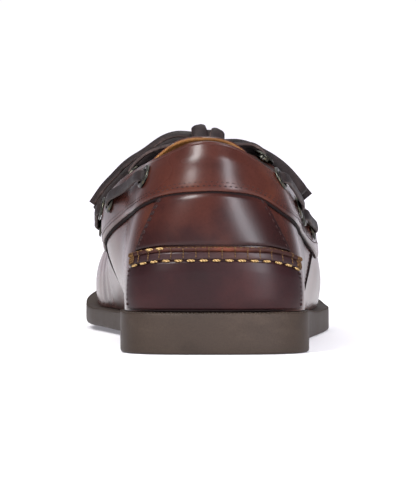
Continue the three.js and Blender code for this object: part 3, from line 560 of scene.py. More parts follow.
def tidy(mesh, sharp):
    """Merge doubled points, turn faces outwards and keep the sharper edges crisp."""
    work = bmesh.new()
    work.from_mesh(mesh)
    bmesh.ops.remove_doubles(work, verts=work.verts, dist=0.00002)
    bmesh.ops.recalc_face_normals(work, faces=work.faces)
    work.to_mesh(mesh)
    work.free()
    mesh.set_sharp_from_angle(angle=math.radians(sharp))


def grid_faces(rows, columns, closed=False, start=0):
    """Quads of a grid whose point (i, j) has the number start + i * columns + j. A closed one joins its
    last column to its first."""
    i, j = np.meshgrid(np.arange(rows - 1), np.arange(columns if closed else columns - 1), indexing="ij")
    below = start + i * columns
    above = below + columns
    beside = (j + 1) % columns
    return np.stack([below + j, below + beside, above + beside, above + j], -1).reshape(-1, 4)


def capped(rows, columns):
    """Faces of a tube through rings of points, with one face over each of its ends."""
    ends = [list(range(columns))[::-1], list(range((rows - 1) * columns, rows * columns))]
    return grid_faces(rows, columns, closed=True).tolist() + ends


def slab(over, under):
    """Points and faces of a closed body between two grids of points, and each face's material: 0 on the
    upper side, 1 on the rest."""
    rows, columns = over.shape[:2]
    count = rows * columns
    top = grid_faces(rows, columns)
    bottom = grid_faces(rows, columns, start=count)[:, ::-1]
    loop = np.concatenate([
        np.arange(columns), np.arange(1, rows) * columns + columns - 1,
        (rows - 1) * columns + np.arange(columns - 2, -1, -1), np.arange(rows - 2, 0, -1) * columns])
    following = np.roll(loop, -1)
    side = np.stack([loop, loop + count, following + count, following], -1)
    faces = np.concatenate([top, bottom, side])
    points = np.concatenate([over.reshape(-1, 3), under.reshape(-1, 3)])
    return points, faces, np.arange(len(faces)) >= len(top)


def drape(name, w, t, low, high, materials, slot, node):
    """A closed piece over grids of places w and t, between two distances from the upper."""
    points, faces, slots = slab(shell(w, t, high), shell(w, t, low))
    mesh_piece(name, points, faces, materials, slot, slots, sharp=35, node=node)


def eased_edges(rows, columns, edge_rows, edge_columns, drop):
    """How far a slab's upper layer comes down near its edges, so that they look rounded."""
    def across(count, near):
        place = np.minimum(np.arange(count), np.arange(count)[::-1])
        return 1 - np.sqrt(1 - (1 - np.clip(place / near, 0, 1)) ** 2)
    return drop * np.maximum(across(rows, edge_rows)[:, None], across(columns, edge_columns)[None, :])


def crowded(count, near_share, near_count):
    """Shares from 0 to 1 that stand closer together near both ends."""
    edge = near_share * np.linspace(0, 1, near_count, endpoint=False) ** 1.6
    inner = np.linspace(near_share, 1 - near_share, count - 2 * near_count)
    return np.concatenate([edge, inner, 1 - edge[::-1]])


def circle(count, start=0.0, power=1.0):
    """Cosines and sines of places round a circle. A power below 1 makes it squarer."""
    turns = 2 * np.pi * (np.arange(count) + start) / count
    return [np.sign(part) * np.abs(part) ** power for part in (np.cos(turns), np.sin(turns))]


def spans(points):
    return np.linalg.norm(np.diff(points, axis=0), axis=1)


def run_length(points):
    return np.concatenate([[0], np.cumsum(spans(points))])


def line_length(points):
    return float(spans(points).sum()) * MM


def at_lengths(spots, length, values):
    return np.stack([np.interp(spots, length, values[:, k]) for k in range(3)], -1)


def surface_line(w, t, out):
    """Points and outward directions along a line of places."""
    w, t = np.broadcast_arrays(np.asarray(w, float), np.asarray(t, float))
    return shell(w, t, out), normal(w, t)


def marks_along(points, ways, pitch):
    """Evenly spaced centres, directions and outward directions along a line."""
    length = run_length(points)
    count = int(length[-1] / pitch)
    spots = (np.arange(count) + 0.5) * length[-1] / count
    along = unit(at_lengths(spots, length, np.gradient(points, length, axis=0)))
    up = at_lengths(spots, length, ways)
    return at_lengths(spots, length, points), along, unit(up - along * (up * along).sum(-1, keepdims=True))


BEAD_SIDES = 6
BEAD_RINGS = [(-0.5, 0.0), (-0.44, 0.62), (-0.25, 1.0), (0.25, 1.0), (0.44, 0.62), (0.5, 0.0)]


def beads(marks, length, thick, sink=0.0, bow=0.0):
    """Points and faces of one rounded thread stitch at each mark. Its ends dip by bow into the leather."""
    centre, along, up = marks
    across = np.cross(along, up)
    template = np.array([
        (place * length, wide * thick / 2 * a, wide * thick / 2 * b - bow * (2 * place) ** 2 - sink)
        for place, wide in BEAD_RINGS for a, b in zip(*circle(BEAD_SIDES))])
    points = centre[:, None] + sum(way[:, None] * template[None, :, k:k + 1]
                                   for k, way in enumerate((along, across, up)))
    one = grid_faces(len(BEAD_RINGS), BEAD_SIDES, closed=True)
    faces = np.arange(len(centre))[:, None, None] * len(template) + one[None]
    return points.reshape(-1, 3), faces.reshape(-1, 4)


def threads(name, parts, material, slot="leather"):
    """One piece from several (points, faces)."""
    starts = np.cumsum([0] + [len(points) for points, _ in parts])
    faces = np.concatenate([faces + start for (_, faces), start in zip(parts, starts)])
    mesh_piece(name, np.concatenate([points for points, _ in parts]), faces, [material], slot)


def catmull_rom(control, steps):
    """Evenly spaced points of a centripetal Catmull-Rom curve."""
    p = np.asarray(control, float)
    p = np.concatenate([[2 * p[0] - p[1]], p, [2 * p[-1] - p[-2]]])
    fine = []
    for i in range(1, len(p) - 2):
        knots = np.concatenate([[0], np.cumsum(spans(p[i - 1:i + 3]) ** 0.5)])
        s = np.linspace(knots[1], knots[2], 24, endpoint=i == len(p) - 3)[:, None]
        a = [((knots[k + 1] - s) * p[i - 1 + k] + (s - knots[k]) * p[i + k]) / (knots[k + 1] - knots[k])
             for k in range(3)]
        b = [((knots[k + 2] - s) * a[k] + (s - knots[k]) * a[k + 1]) / (knots[k + 2] - knots[k])
             for k in range(2)]
        fine.append(((knots[2] - s) * b[0] + (s - knots[1]) * b[1]) / (knots[2] - knots[1]))
    fine = np.concatenate(fine)
    length = run_length(fine)
    return at_lengths(np.linspace(0, length[-1], steps + 1), length, fine)


def square_to(points, ways):
    """The two directions square to a line at each of its points, the second close to ways."""
    along = unit(np.gradient(points, axis=0))
    across = unit(np.cross(along, ways))
    return across, np.cross(across, along)


def swept(points, across, out, a, b):
    """Rings along a line, whose points lie at a along across and at b along out."""
    return (points[:, None] + across[:, None] * a[..., None] + out[:, None] * b[..., None]).reshape(-1, 3)


TUBE_SIDES = 6


def tube(line, ways, radius):
    """A round thread along a line, tapering to nothing at its ends."""
    near_end = np.minimum(np.linspace(0, 1, len(line)), np.linspace(1, 0, len(line)))
    wide = radius * np.minimum(1, 4 * near_end + 0.02)[:, None]
    a, b = circle(TUBE_SIDES)
    points = swept(line, *square_to(line, ways), a * wide, b * wide)
    return points, grid_faces(len(line), TUBE_SIDES, closed=True)


STRAP_ROUND = 0.55
STRAP_SECTION = 16
STRAP_CUP = 0.12
STRAP_WAVER = 0.03
WAVER_STEP = 4


def strap(points, faces_out, width=LACE_WIDTH, thick=LACE_THICKNESS, cup=STRAP_CUP, seed=1):
    """A flat leather lace along points, its broad face turned the way of faces_out. It is a little cupped
    and its width varies, as cut rawhide does."""
    count = len(points)
    places = np.arange(0, count + WAVER_STEP, WAVER_STEP)
    chance = np.random.default_rng(seed).normal(size=len(places))
    a, b = circle(STRAP_SECTION, 0.5, STRAP_ROUND)
    side = a * width / 2 * (1 + STRAP_WAVER * np.interp(np.arange(count), places, chance))[:, None]
    deep = b * thick / 2 - cup * (side / (width / 2)) ** 2 + cup / 2
    rings = swept(points, *square_to(points, faces_out), side, deep)
    faces = grid_faces(count, STRAP_SECTION, closed=True).tolist()
    tip, last = count * STRAP_SECTION, (count - 1) * STRAP_SECTION
    for k in range(STRAP_SECTION):
        follow = (k + 1) % STRAP_SECTION
        faces += [[tip, follow, k], [tip + 1, last + k, last + follow]]
    return np.concatenate([rings, points[:1], points[-1:]]), faces


def away_from_hub(points):
    return unit(points * np.array([1, 0, 1]) - np.array([0, 0, LACE_HUB]))


def standing_faces(points):
    along = unit(np.gradient(points, axis=0))
    return unit(np.cross(away_from_hub(points), along))


# Materials. Colours are as they look in even light, except the painted shade and highlight noted below; each
# is made linear for the shader.
def linear(colour):
    return [(c / 255 / 12.92 if c <= 10 else ((c / 255 + 0.055) / 1.055) ** 2.4) for c in colour] + [1]


class Nodes:
    """A node tree, with short ways to add what the materials here are made of."""

    def __init__(self, tree):
        self.tree = tree

    def fill(self, node, sockets):
        """Set a node's sockets, or link them where the value is another node's output."""
        for socket, value in sockets.items():
            if isinstance(value, bpy.types.NodeSocket):
                self.tree.links.new(value, node.inputs[socket])
            else:
                node.inputs[socket].default_value = value

    def add(self, kind, sockets, **settings):
        node = self.tree.nodes.new(kind)
        for setting, value in settings.items():
            setattr(node, setting, value)
        self.fill(node, sockets)
        return node

    def noise(self, place, scale, detail, rough):
        sockets = {"Vector": place, "Scale": scale, "Detail": detail, "Roughness": rough}
        return self.add("ShaderNodeTexNoise", sockets).outputs["Fac"]

    def ramp(self, source, places, colours):
        node = self.add("ShaderNodeValToRGB", {"Fac": source})
        node.color_ramp.interpolation = "EASE"
        while len(node.color_ramp.elements) < len(places):
            node.color_ramp.elements.new(0.5)
        for element, place, colour in zip(node.color_ramp.elements, places, colours):
            element.position = place
            element.color = colour
        return node.outputs["Color"]

    def between(self, source, low, high, low_in=0.3, high_in=0.7):
        sockets = {"Value": source, "From Min": low_in, "From Max": high_in, "To Min": low, "To Max": high}
        return self.add("ShaderNodeMapRange", sockets).outputs["Result"]

    def bump(self, height, strength, distance, under=None):
        sockets = {"Height": height, "Strength": strength, "Distance": distance}
        if under:
            sockets["Normal"] = under
        return self.add("ShaderNodeBump", sockets).outputs["Normal"]

    def multiplied(self, share, a, b):
        sockets = {"Factor": share, 6: a, 7: b}
        return self.add("ShaderNodeMix", sockets,
                        data_type="RGBA", blend_type="MULTIPLY").outputs[2]


def new_material(name):
    material = bpy.data.materials.new(name)
    material.use_nodes = True
    nodes = Nodes(material.node_tree)
    place = nodes.add("ShaderNodeTexCoord", {}).outputs["Object"]
    return material, nodes, material.node_tree.nodes["Principled BSDF"], place


def leather(name, *colours, gloss=0.26, grain=1.0, coat=0.08):
    """Polished full-grain leather: clouded colour, fine pebbled grain and pores, soft gloss."""
    material, nodes, shader, place = new_material(name)
    clouds = nodes.ramp(nodes.noise(place, 34, 3, 0.5), (0.33, 0.5, 0.72), map(linear, colours))
    specks = nodes.ramp(nodes.noise(place, 900, 3, 0.7), (0.35, 0.55), ([0.8, 0.78, 0.78, 1], [1, 1, 1, 1]))
    cells = nodes.add("ShaderNodeTexVoronoi", {"Vector": place, "Scale": 1150}, feature="SMOOTH_F1")
    pebbles = nodes.bump(cells.outputs["Distance"], 0.07 * grain, 0.00012)
    nodes.fill(shader, {
        "Base Color": nodes.multiplied(0.7, clouds, specks),
        "Normal": nodes.bump(nodes.noise(place, 2600, 2, 0.5), 0.05 * grain, 0.0001, pebbles),
        "Roughness": nodes.between(nodes.noise(place, 25, 2, 0.5), gloss - 0.01, gloss + 0.03),
        "IOR": 1.27,
        "Coat Weight": coat,
        "Coat Roughness": 0.2,
    })
    return material


def rubber(name, *colours):
    """Matt moulded rubber with faint upright clouds, dust and a grain."""
    material, nodes, shader, place = new_material(name)
    upright = nodes.add("ShaderNodeMapping", {"Vector": place, "Scale": (1, 1, 2.2)}).outputs["Vector"]
    clouds = nodes.noise(upright, 30, 6, 0.65)
    colour = nodes.ramp(clouds, (0.3, 0.52, 0.75), map(linear, colours))
    dust = nodes.ramp(nodes.noise(place, 1500, 3, 0.7), (0.3, 0.62),
                      ([0.82, 0.82, 0.82, 1], [1.04, 1.03, 1.02, 1]))
    grain = nodes.bump(nodes.noise(place, 1900, 3, 0.6), 0.2, 0.00015)
    nodes.fill(shader, {
        "Base Color": nodes.multiplied(1.0, colour, dust),
        "Normal": nodes.bump(nodes.noise(place, 70, 3, 0.5), 0.1, 0.0008, grain),
        "Roughness": nodes.between(clouds, 0.5, 0.66),
        "IOR": 1.3,
    })
    return material


def rawhide(name, *colours, gloss):
    """Cut leather lace with dry streaks and fibres."""
    material, nodes, shader, place = new_material(name)
    streaks = nodes.noise(place, 260, 6, 0.7)
    fibre = nodes.bump(nodes.noise(place, 1400, 4, 0.7), 0.3, 0.0003)
    nodes.fill(shader, {
        "Base Color": nodes.ramp(streaks, (0.3, 0.52, 0.75), map(linear, colours)),
        "Normal": nodes.bump(nodes.noise(place, 240, 3, 0.5), 0.3, 0.0008, fibre),
        "Roughness": nodes.between(streaks, gloss - 0.08, gloss + 0.15),
        "IOR": 1.24,
    })
    return material


def metal(name, *colours):
    """Tarnished metal with brighter worn places."""
    material, nodes, shader, place = new_material(name)
    tarnish = nodes.noise(place, 420, 5, 0.7)
    nodes.fill(shader, {
        "Base Color": nodes.ramp(tarnish, (0.46, 0.72), map(linear, colours)),
        "Normal": nodes.bump(nodes.noise(place, 1800, 3, 0.6), 0.12, 0.0001),
        "Roughness": nodes.between(tarnish, 0.42, 0.22),
        "Metallic": 1,
    })
    return material


def thread(name, *colours):
    """Waxed thread: two plies show as slanting twists."""
    material, nodes, shader, place = new_material(name)
    sockets = {"Vector": place, "Scale": 520, "Distortion": 1.5}
    twist = nodes.add("ShaderNodeTexWave", sockets, bands_direction="DIAGONAL").outputs["Fac"]
    nodes.fill(shader, {
        "Base Color": nodes.ramp(twist, (0.2, 0.8), map(linear, colours)),
        "Normal": nodes.bump(twist, 0.4, 0.0002),
        "Roughness": 0.7,
        "Specular IOR Level": 0.15,
    })
    return material


def shadow(name, colour):
    """Painted shadow: the dark of holes and gaps, which hardly shines."""
    material, nodes, shader, place = new_material(name)
    nodes.fill(shader, {
        "Base Color": linear(colour),
        "Normal": nodes.bump(nodes.noise(place, 60, 2, 0.5), 0.02, 0.0005),
        "Roughness": 0.9,
        "Specular IOR Level": 0.1,
    })
    return material


LEATHER = leather("brown_leather", (46, 22, 18), (59, 29, 23), (74, 38, 26))
# Painted shade: a darker copy of the upper's leather for the back panel, so that it looks as shaded as it
# should under this lighting.
SHADED_PANEL_LEATHER = leather("back_leather_painted_shade", (28, 12, 12), (37, 16, 15), (56, 26, 20))
DARK_LEATHER = leather("dark_brown_leather", (26, 9, 11), (34, 13, 15), (46, 19, 19), gloss=0.34, coat=0.02)
SEAM_LEATHER = leather("seam_leather", (34, 19, 21), (45, 27, 28), (62, 38, 33), gloss=0.36, coat=0.1)
CUT_EDGE = leather("cut_edge", (36, 20, 19), (50, 29, 25), (70, 40, 31), gloss=0.5, grain=1.6, coat=0)
RAW_LIP = leather("raw_lip", (36, 16, 13), (54, 25, 19), (96, 48, 30), gloss=0.5, grain=5, coat=0)
LINING = leather("tan_lining", (96, 62, 32), (128, 88, 48), (156, 114, 66), gloss=0.5, grain=0.7, coat=0)
RUBBER = rubber("taupe_rubber", (42, 33, 27), (50, 40, 33), (62, 51, 43))
TREAD = rubber("tread_rubber", (48, 39, 33), (58, 48, 41), (70, 59, 51))
RAWHIDE = rawhide("rawhide", (20, 16, 16), (32, 25, 25), (50, 40, 39), gloss=0.52)
# The lace's cut edges, made paler partly as a painted highlight where light catches them.
RAWHIDE_EDGE_AND_HIGHLIGHT = rawhide("rawhide_edge_and_highlight", (40, 32, 31), (60, 49, 47), (88, 74, 70), gloss=0.55)
BRASS = metal("antique_brass", (54, 54, 50), (92, 85, 66))
DARK_THREAD = thread("dark_thread", (26, 15, 16), (48, 28, 26))
CREAM_THREAD = thread("cream_thread", (108, 84, 50), (176, 146, 98))
RUST_THREAD = thread("rust_thread", (60, 40, 24), (100, 74, 44))
# Painted shadow, laid in the eyelet holes and along the seams.
SHADOW_PAINT = shadow("painted_shadow", (22, 14, 14))

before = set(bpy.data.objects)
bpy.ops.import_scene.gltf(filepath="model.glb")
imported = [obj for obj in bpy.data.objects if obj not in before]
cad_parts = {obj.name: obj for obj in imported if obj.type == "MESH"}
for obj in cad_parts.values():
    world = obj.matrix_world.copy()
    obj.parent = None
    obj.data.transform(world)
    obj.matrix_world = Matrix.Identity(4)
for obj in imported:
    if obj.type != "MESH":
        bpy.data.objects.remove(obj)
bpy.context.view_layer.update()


# The upper. Its quarters overlap the vamp along a seam that runs down and back from the band's end.
COLUMNS = 540
THROAT_COLUMNS = 14
ROWS_UNDER_SEAM = 16
ROWS_ON_SEAM = 17
ROWS_OVER_SEAM = 44
ROWS_INSIDE = 24
QUARTER_STEP = 0.35
QUARTER_FOOT = 101
QUARTER_HEAD = 141
QUARTER_HEAD_HEIGHT = 46
QUARTER_SLOPE_WIDTH = 1.2
PLEAT_PITCH = 6.4
PLEAT_REACH = 7
PLEAT_DEPTH = 0.24
LIP_START = 0.24
LIP_ROUGHNESS = 0.28
RIM_SINK = 0.7
SMALL_TURN = 0.01


def quarter_way(height):
    share = (height - HEEL_THICKNESS) / (QUARTER_HEAD_HEIGHT - HEEL_THICKNESS)
    return mix(way_to(QUARTER_FOOT), way_to(QUARTER_HEAD), share)


def ridge(across):
    """The raised seam's section: a flat band below and a fuller raw lip above it."""
    band = 0.66 * np.maximum(1 - ((across + 0.34) / 0.66) ** 6, 0) ** 0.5
    lip = np.maximum(1 - ((across - 0.62) / 0.38) ** 4, 0) ** 0.5
    return np.maximum(band, lip)


def undulation(w, height):
    """Slight hand-made unevenness of stretched leather."""
    way = w * EDGE_LENGTH
    return (0.16 * np.sin(way / 13 + height / 17) * np.sin(height / 11 + 1.3)
            + 0.10 * np.sin(way / 7.1 - height / 9 + 2.0))


def band_wave(w, t):
    return 0.6 * undulation(w * 1.3, skin(w, t)[..., 2])


def panel_wave(w, t):
    return 0.7 * undulation(w, skin(w, t)[..., 2])


# Creases where the foot bends the vamp: the crease's place along the shoe, its depth and its width
CREASES = [(186, 0.5, 4.5), (196, 0.7, 5.0), (207, 0.45, 4.5)]
CREASE_SLANT = 10


def creases(points):
    depth = 0
    across = np.abs(points[..., 0] - middle(points[..., 1])) / (BALL_WIDTH / 2)
    fade = smooth_step(0.12, 0.4, across) * (1 - smooth_step(0.72, 0.9, across))
    for place, deep, wide in CREASES:
        off = points[..., 1] - place + CREASE_SLANT * across ** 2
        depth = depth + deep * fade * np.exp(-(off / wide) ** 2)
    return depth


def upper_relief(w, t, across, foot_height):
    """How far the leather stands off the plain surface. across is the place over the raised seam's width."""
    points = skin(w, t)
    height = points[..., 2]
    round_way, way = np.abs(w), w * EDGE_LENGTH
    raised = seam_raised(round_way)
    behind = (quarter_way(height) - round_way) * EDGE_LENGTH
    step = mix(-1, 1, smooth_step(-QUARTER_SLOPE_WIDTH / 2, QUARTER_SLOPE_WIDTH / 2, behind))
    below_seam = seam_height(round_way, np.sign(w)) - SEAM_WIDTH / 2 - height
    pleat = np.cos(2 * np.pi * way / PLEAT_PITCH) * np.exp(-(np.maximum(below_seam, 0) / PLEAT_REACH) ** 2)
    toe = smooth_step(0.6, 0.7, round_way) * (below_seam > -SEAM_WIDTH)
    calm = (1 - smooth_step(0.96, 1.0, round_way)) * smooth_step(0, 4, height - foot_height)
    on_lip = raised * (np.abs(across - 0.6) < 0.36)
    rough = np.sin(way * 2.1 + 3 * across) * np.sin(way * 0.83)
    return (SEAM_PROUD * raised * ridge(across) + QUARTER_STEP * step + PLEAT_DEPTH * toe * pleat
            + undulation(w, height) * calm - creases(points) + LIP_ROUGHNESS * on_lip * rough)


def climb_rate(ways, t, below, above):
    """Millimetres of surface per step of t, near t on each rib."""
    return np.linalg.norm(skin(ways, t + above) - skin(ways, t - below), axis=-1) / (below + above)


def make_upper():
    bend, front = way_to_crest(THROAT_FRONT - THROAT_CORNER), way_to_crest(THROAT_FRONT)
    at_throat = front - (front - bend) * np.linspace(0, 1, THROAT_COLUMNS) ** 2
    half = np.unique(np.concatenate([np.linspace(0, 1, COLUMNS // 2 + 1), at_throat]))
    ways = np.concatenate([-half[:0:-1], half])
    r = rib(ways)
    top = rib_top(ways)
    sunk = RIM_SINK * smooth_step(0.46, 0.43, r.way) / climb_rate(ways, top, SMALL_TURN, 0)
    top = np.where(top < 1, top - sunk, top)
    seam = at_height(ways, seam_height(r.way, r.side))
    half_seam = SEAM_WIDTH / 2 / climb_rate(ways, seam, SMALL_TURN, SMALL_TURN)
    over_seam = np.linspace(-1, 1, ROWS_ON_SEAM)
    across = np.concatenate([np.full(ROWS_UNDER_SEAM, -1), over_seam, np.full(ROWS_OVER_SEAM, 1)])
    t = np.concatenate([
        (seam - half_seam)[:, None] * np.linspace(0, 1, ROWS_UNDER_SEAM, endpoint=False),
        seam[:, None] + half_seam[:, None] * over_seam,
        mix((seam + half_seam)[:, None], top[:, None], np.linspace(0, 1, ROWS_OVER_SEAM + 1)[1:])], axis=1)
    w = np.broadcast_to(ways[:, None], t.shape)
    outside = shell(w, t, upper_relief(w, t, across, r.base[:, None]))
    inside = shell(ways[:, None], top[:, None] * np.linspace(0, 1, ROWS_INSIDE), -WALL)

    rows, columns = t.shape
    inner = rows * columns
    outer_faces = grid_faces(rows, columns)
    inner_faces = grid_faces(rows, ROWS_INSIDE, start=inner)[:, ::-1]
    k = np.arange(rows - 1)
    foot = np.stack([k * columns, (k + 1) * columns, inner + (k + 1) * ROWS_INSIDE,
                     inner + k * ROWS_INSIDE], -1)
    k = k[(top < 1)[:-1] | (top < 1)[1:]]
    rim = np.stack([(k + 1) * columns, inner + (k + 1) * ROWS_INSIDE, inner + (k + 2) * ROWS_INSIDE,
                    (k + 2) * columns], -1) - 1
    column_of, row_of = np.divmod(np.arange(len(outer_faces)), columns - 1)
    in_rows = (row_of >= ROWS_UNDER_SEAM) & (row_of < ROWS_UNDER_SEAM + ROWS_ON_SEAM - 1)
    on_seam = (seam_raised(r.way)[column_of] > 0.5) & in_rows
    lip = on_seam & (across[row_of] >= LIP_START)
    slots = np.concatenate([np.where(lip, 2, np.where(on_seam, 1, 0)), np.full(len(inner_faces), 3),
                            np.full(len(foot), 0), np.full(len(rim), 3)])
    mesh_piece("upper_leather", np.concatenate([outside.reshape(-1, 3), inside.reshape(-1, 3)]),
               np.concatenate([outer_faces, inner_faces, foot, rim]),
               [LEATHER, SEAM_LEATHER, RAW_LIP, LINING], "leather", slots, sharp=50, node="upper")


BAND_COLUMNS = 300
BAND_ROWS = 30
BAND_STRAIGHT = 0.3
BAND_ROUND = 0.9
FACING_CLEAR = 4
BAND_TOP = BAND_SEAT + BAND_THICKNESS
EYELET_TOP = BAND_TOP + EYELET_SEAT + EYELET_HEIGHT
LACE_MIDDLE = EYELET_TOP + LACE_SEAT + LACE_THICKNESS / 2
LACE_TUNNEL = 0.35


def band_places(turn, up):
    """The places of the collar band, turn from -1 at its inner to +1 at its outer front end."""
    low_end, high_end = way_to(BAND_END), way_to(BAND_END + BAND_SLANT)
    way = np.abs(turn) * low_end
    stretch = mix(1, (high_end - BAND_STRAIGHT) / (low_end - BAND_STRAIGHT), up)
    slanted = BAND_STRAIGHT + (way - BAND_STRAIGHT) * stretch
    w = np.where(turn < 0, -1, 1) * np.where(way > BAND_STRAIGHT, slanted, way)
    near = np.clip(1 - (low_end - way) * EDGE_LENGTH / BAND_CORNER, 0, 1)
    corner = BAND_CORNER * (1 - np.sqrt(1 - near * near)) / 2
    bottom = at_height(w, band_edge(w) + corner)
    top = np.minimum(rib_top(w), at_gap(w, FACING_CLEAR + corner))
    return w, mix(bottom, top, up)


def make_band():
    turn = 2 * crowded(BAND_COLUMNS, 0.02, 8) - 1
    turn, up = np.meshgrid(turn, crowded(BAND_ROWS, 0.12, 5), indexing="ij")
    w, t = band_places(turn, up)
    tunnel = LACE_TUNNEL * np.exp(-((up - 0.62) / 0.16) ** 2) * smooth_step(0.95, 0.8, np.abs(turn))
    high = BAND_TOP - eased_edges(*t.shape, 6, 5, BAND_ROUND) + tunnel + band_wave(w, t)
    drape("collar_band_leather", w, t, BAND_SEAT - 0.5, high, [LEATHER, CUT_EDGE], "leather", "collar_band")


ROLL_HALF = 2.55
ROLL_RISE = 1.15
ROLL_SINK = 1.0
ROLL_END = 0.455
ROLL_COLUMNS = 420
ROLL_SIDES = 14
ROLL_SQUARE = 0.8


def make_roll():
    """The collar's rolled binding, over the edge of the band and of the lining."""
    ways = np.linspace(-ROLL_END, ROLL_END, ROLL_COLUMNS)
    top = rib_top(ways)
    edge, away = surface_line(ways, top, 0)
    up = unit(skin(ways, top) - skin(ways, top - SMALL_TURN))
    away = unit(away - up * (away * up).sum(-1, keepdims=True))
    slim = mix(0.35, 1, smooth_step(ROLL_END, ROLL_END - 0.04, np.abs(ways)))[:, None]
    a, b = circle(ROLL_SIDES, power=ROLL_SQUARE)
    points = swept(edge, away, up, (BAND_TOP - WALL) / 2 + ROLL_HALF * a * slim,
                   -ROLL_SINK + ROLL_RISE * b * slim)
    mesh_piece("collar_roll", points, capped(ROLL_COLUMNS, ROLL_SIDES), [LEATHER], "leather", sharp=60)


# The two panels over the heel. Their looks stand a little prouder than the solids.
PANEL_COLUMNS = 70
PANEL_ROWS = 34
PANEL_GAP = 0.5
PANEL_ROUND = 0.6
PANEL_PROUD = 0.25
PANEL_TOP = CLEARANCE + PANEL_THICKNESS + PANEL_PROUD
COUNTER_GAP = 1.0
TUCK_REACH = 4.5


def seam_edge(side):
    def height(w):
        r = rib(w)
        return seam_height(r.way, r.side) + side * (SEAM_WIDTH / 2 + PANEL_GAP)
    return height


def make_panel(name, node, widths, shift, bottom, top, tuck, material, slot):
    """A panel between two heights. tuck is how far its lower and its upper edge are pressed in."""
    turn = 2 * crowded(PANEL_COLUMNS, 0.04, 5) - 1
    turn, up = np.meshgrid(turn, crowded(PANEL_ROWS, 0.08, 5), indexing="ij")
    w = (shift + turn * mix(*widths, up) / 2) / EDGE_LENGTH
    t = mix(at_height(w, bottom(w)), at_height(w, top(w)), up)
    height = skin(w, t)[..., 2]
    high = PANEL_TOP - eased_edges(*t.shape, 5, 5, PANEL_ROUND) + panel_wave(w, t)
    high = high - tuck[1] * (1 - smooth_step(0, TUCK_REACH, height[:, -1:] - height))
    high = high - tuck[0] * (1 - smooth_step(0, TUCK_REACH, height - height[:, :1]))
    drape(name, w, t, -0.2, np.maximum(high, 0.1), [material, CUT_EDGE], slot, node)


def make_heel_panels():
    # The back panel takes the darker copy of the leather, which is painted shade.
    make_panel("back_panel_leather", "back_panel", (BACK_PANEL_LOW, BACK_PANEL_HIGH), BACK_PANEL_SHIFT,
               seam_edge(1), lambda w: band_edge(w) + 2, (0, 1.5), SHADED_PANEL_LEATHER, "leather")
    make_panel("heel_counter_leather", "heel_counter", (COUNTER_WIDTH, COUNTER_WIDTH), COUNTER_SHIFT,
               lambda w: rib(w).base + COUNTER_GAP, seam_edge(-1), (0.35, 0.3), DARK_LEATHER, "dark_leather")


STITCH_SINK = 0.1
STITCH_BOW = 0.25
# How far up the band and how far in from an edge the dark stitches run, and the band's thread thickness
BAND_STITCHES = ((0.09, 0.55), (0.155, 0.45))
PANEL_STITCHES = (0.5, 1.7)
COUNTER_STITCHES = (0.9, 2.0)
QUARTER_STITCHES = (2.2, 4.4)


def stitch_row(w, t, out, pitch, length, thick):
    return beads(marks_along(*surface_line(w, t, out), pitch), length, thick, STITCH_SINK, STITCH_BOW)


def along_edge(side, inset, up):
    """A line up one side of the back panel, at a distance in from its edge."""
    half = mix(BACK_PANEL_LOW, BACK_PANEL_HIGH, up) / 2 - inset
    w = (BACK_PANEL_SHIFT + side * half) / EDGE_LENGTH
    return w, mix(at_height(w, seam_edge(1)(w)), at_height(w, band_edge(w)), up)


def counter_line(side, inset, up):
    w = (COUNTER_SHIFT + side * (COUNTER_WIDTH / 2 - inset)) / EDGE_LENGTH * np.ones(up.shape)
    return w, mix(at_height(w, rib(w).base + 0.6), at_height(w, seam_edge(-1)(w)), up)


def quarter_line(side, back, up):
    """A line down the front edge of one quarter, at a distance behind it."""
    height = mix(HEEL_THICKNESS - 2, QUARTER_HEAD_HEIGHT, up)
    w = side * (quarter_way(height) - back / EDGE_LENGTH)
    return w, at_height(w, height)


def make_stitches():
    rows = []
    turn = np.linspace(-0.985, 0.985, 1400)
    for up, thick in BAND_STITCHES:
        w, t = band_places(turn, np.full(turn.shape, up))
        rows.append(stitch_row(w, t, BAND_TOP + 0.04 + band_wave(w, t), 2.2, 1.6, thick))
    up = np.linspace(0.03, 0.97, 90)
    for side in (-1, 1):
        for inset in PANEL_STITCHES:
            w, t = along_edge(side, inset, up)
            stand = PANEL_TOP - 0.3 * (inset < 1) + panel_wave(w, t)
            rows.append(stitch_row(w, t, stand, 2.6, 2.1, 1.2 if side < 0 else 0.7))
        for inset in COUNTER_STITCHES:
            w, t = counter_line(side, inset, up)
            rows.append(stitch_row(w, t, PANEL_TOP - 0.15 * (inset < 1) + panel_wave(w, t), 1.7, 1.2, 0.55))
        for back in QUARTER_STITCHES:
            w, t = quarter_line(side, back, up)
            stand = QUARTER_STEP + 0.06 + undulation(w, skin(w, t)[:, 2])
            rows.append(stitch_row(w, t, stand, 2.7, 2.0, 0.55))
    threads("dark_stitches", rows, DARK_THREAD)


def make_seam_lines():
    """Painted shadow along the seams: thin dark cords laid in the gaps and at the cut edges, where shade
    falls.
    """
    up = np.linspace(0, 1, 80)
    turn = np.linspace(-1, 1, 700)
    w, t = band_places(turn, np.zeros(turn.shape))
    below = at_height(w, skin(w, t)[:, 2] - 0.35)
    lines = [tube(*surface_line(w, below, 0.75), 0.75)]
    for side in (-1, 1):
        lines.append(tube(*surface_line(*along_edge(side, -0.35, up), 0.85), 0.55))
        lines.append(tube(*surface_line(*counter_line(side, -0.35, up), 0.85), 0.5))
        lines.append(tube(*surface_line(*quarter_line(side, 0.2, up), 0.25), 0.75))
    # A painted shadow line in the gap between the heel counter and the sole.
    w = (COUNTER_SHIFT + np.linspace(-0.5, 0.5, 240) * COUNTER_WIDTH) / EDGE_LENGTH
    gap = at_height(w, rib(w).base + COUNTER_GAP / 2)
    lines.append(tube(*surface_line(w, gap, QUARTER_STEP + 0.2), 0.5))
    threads("seam_shadow_lines", lines, SHADOW_PAINT)


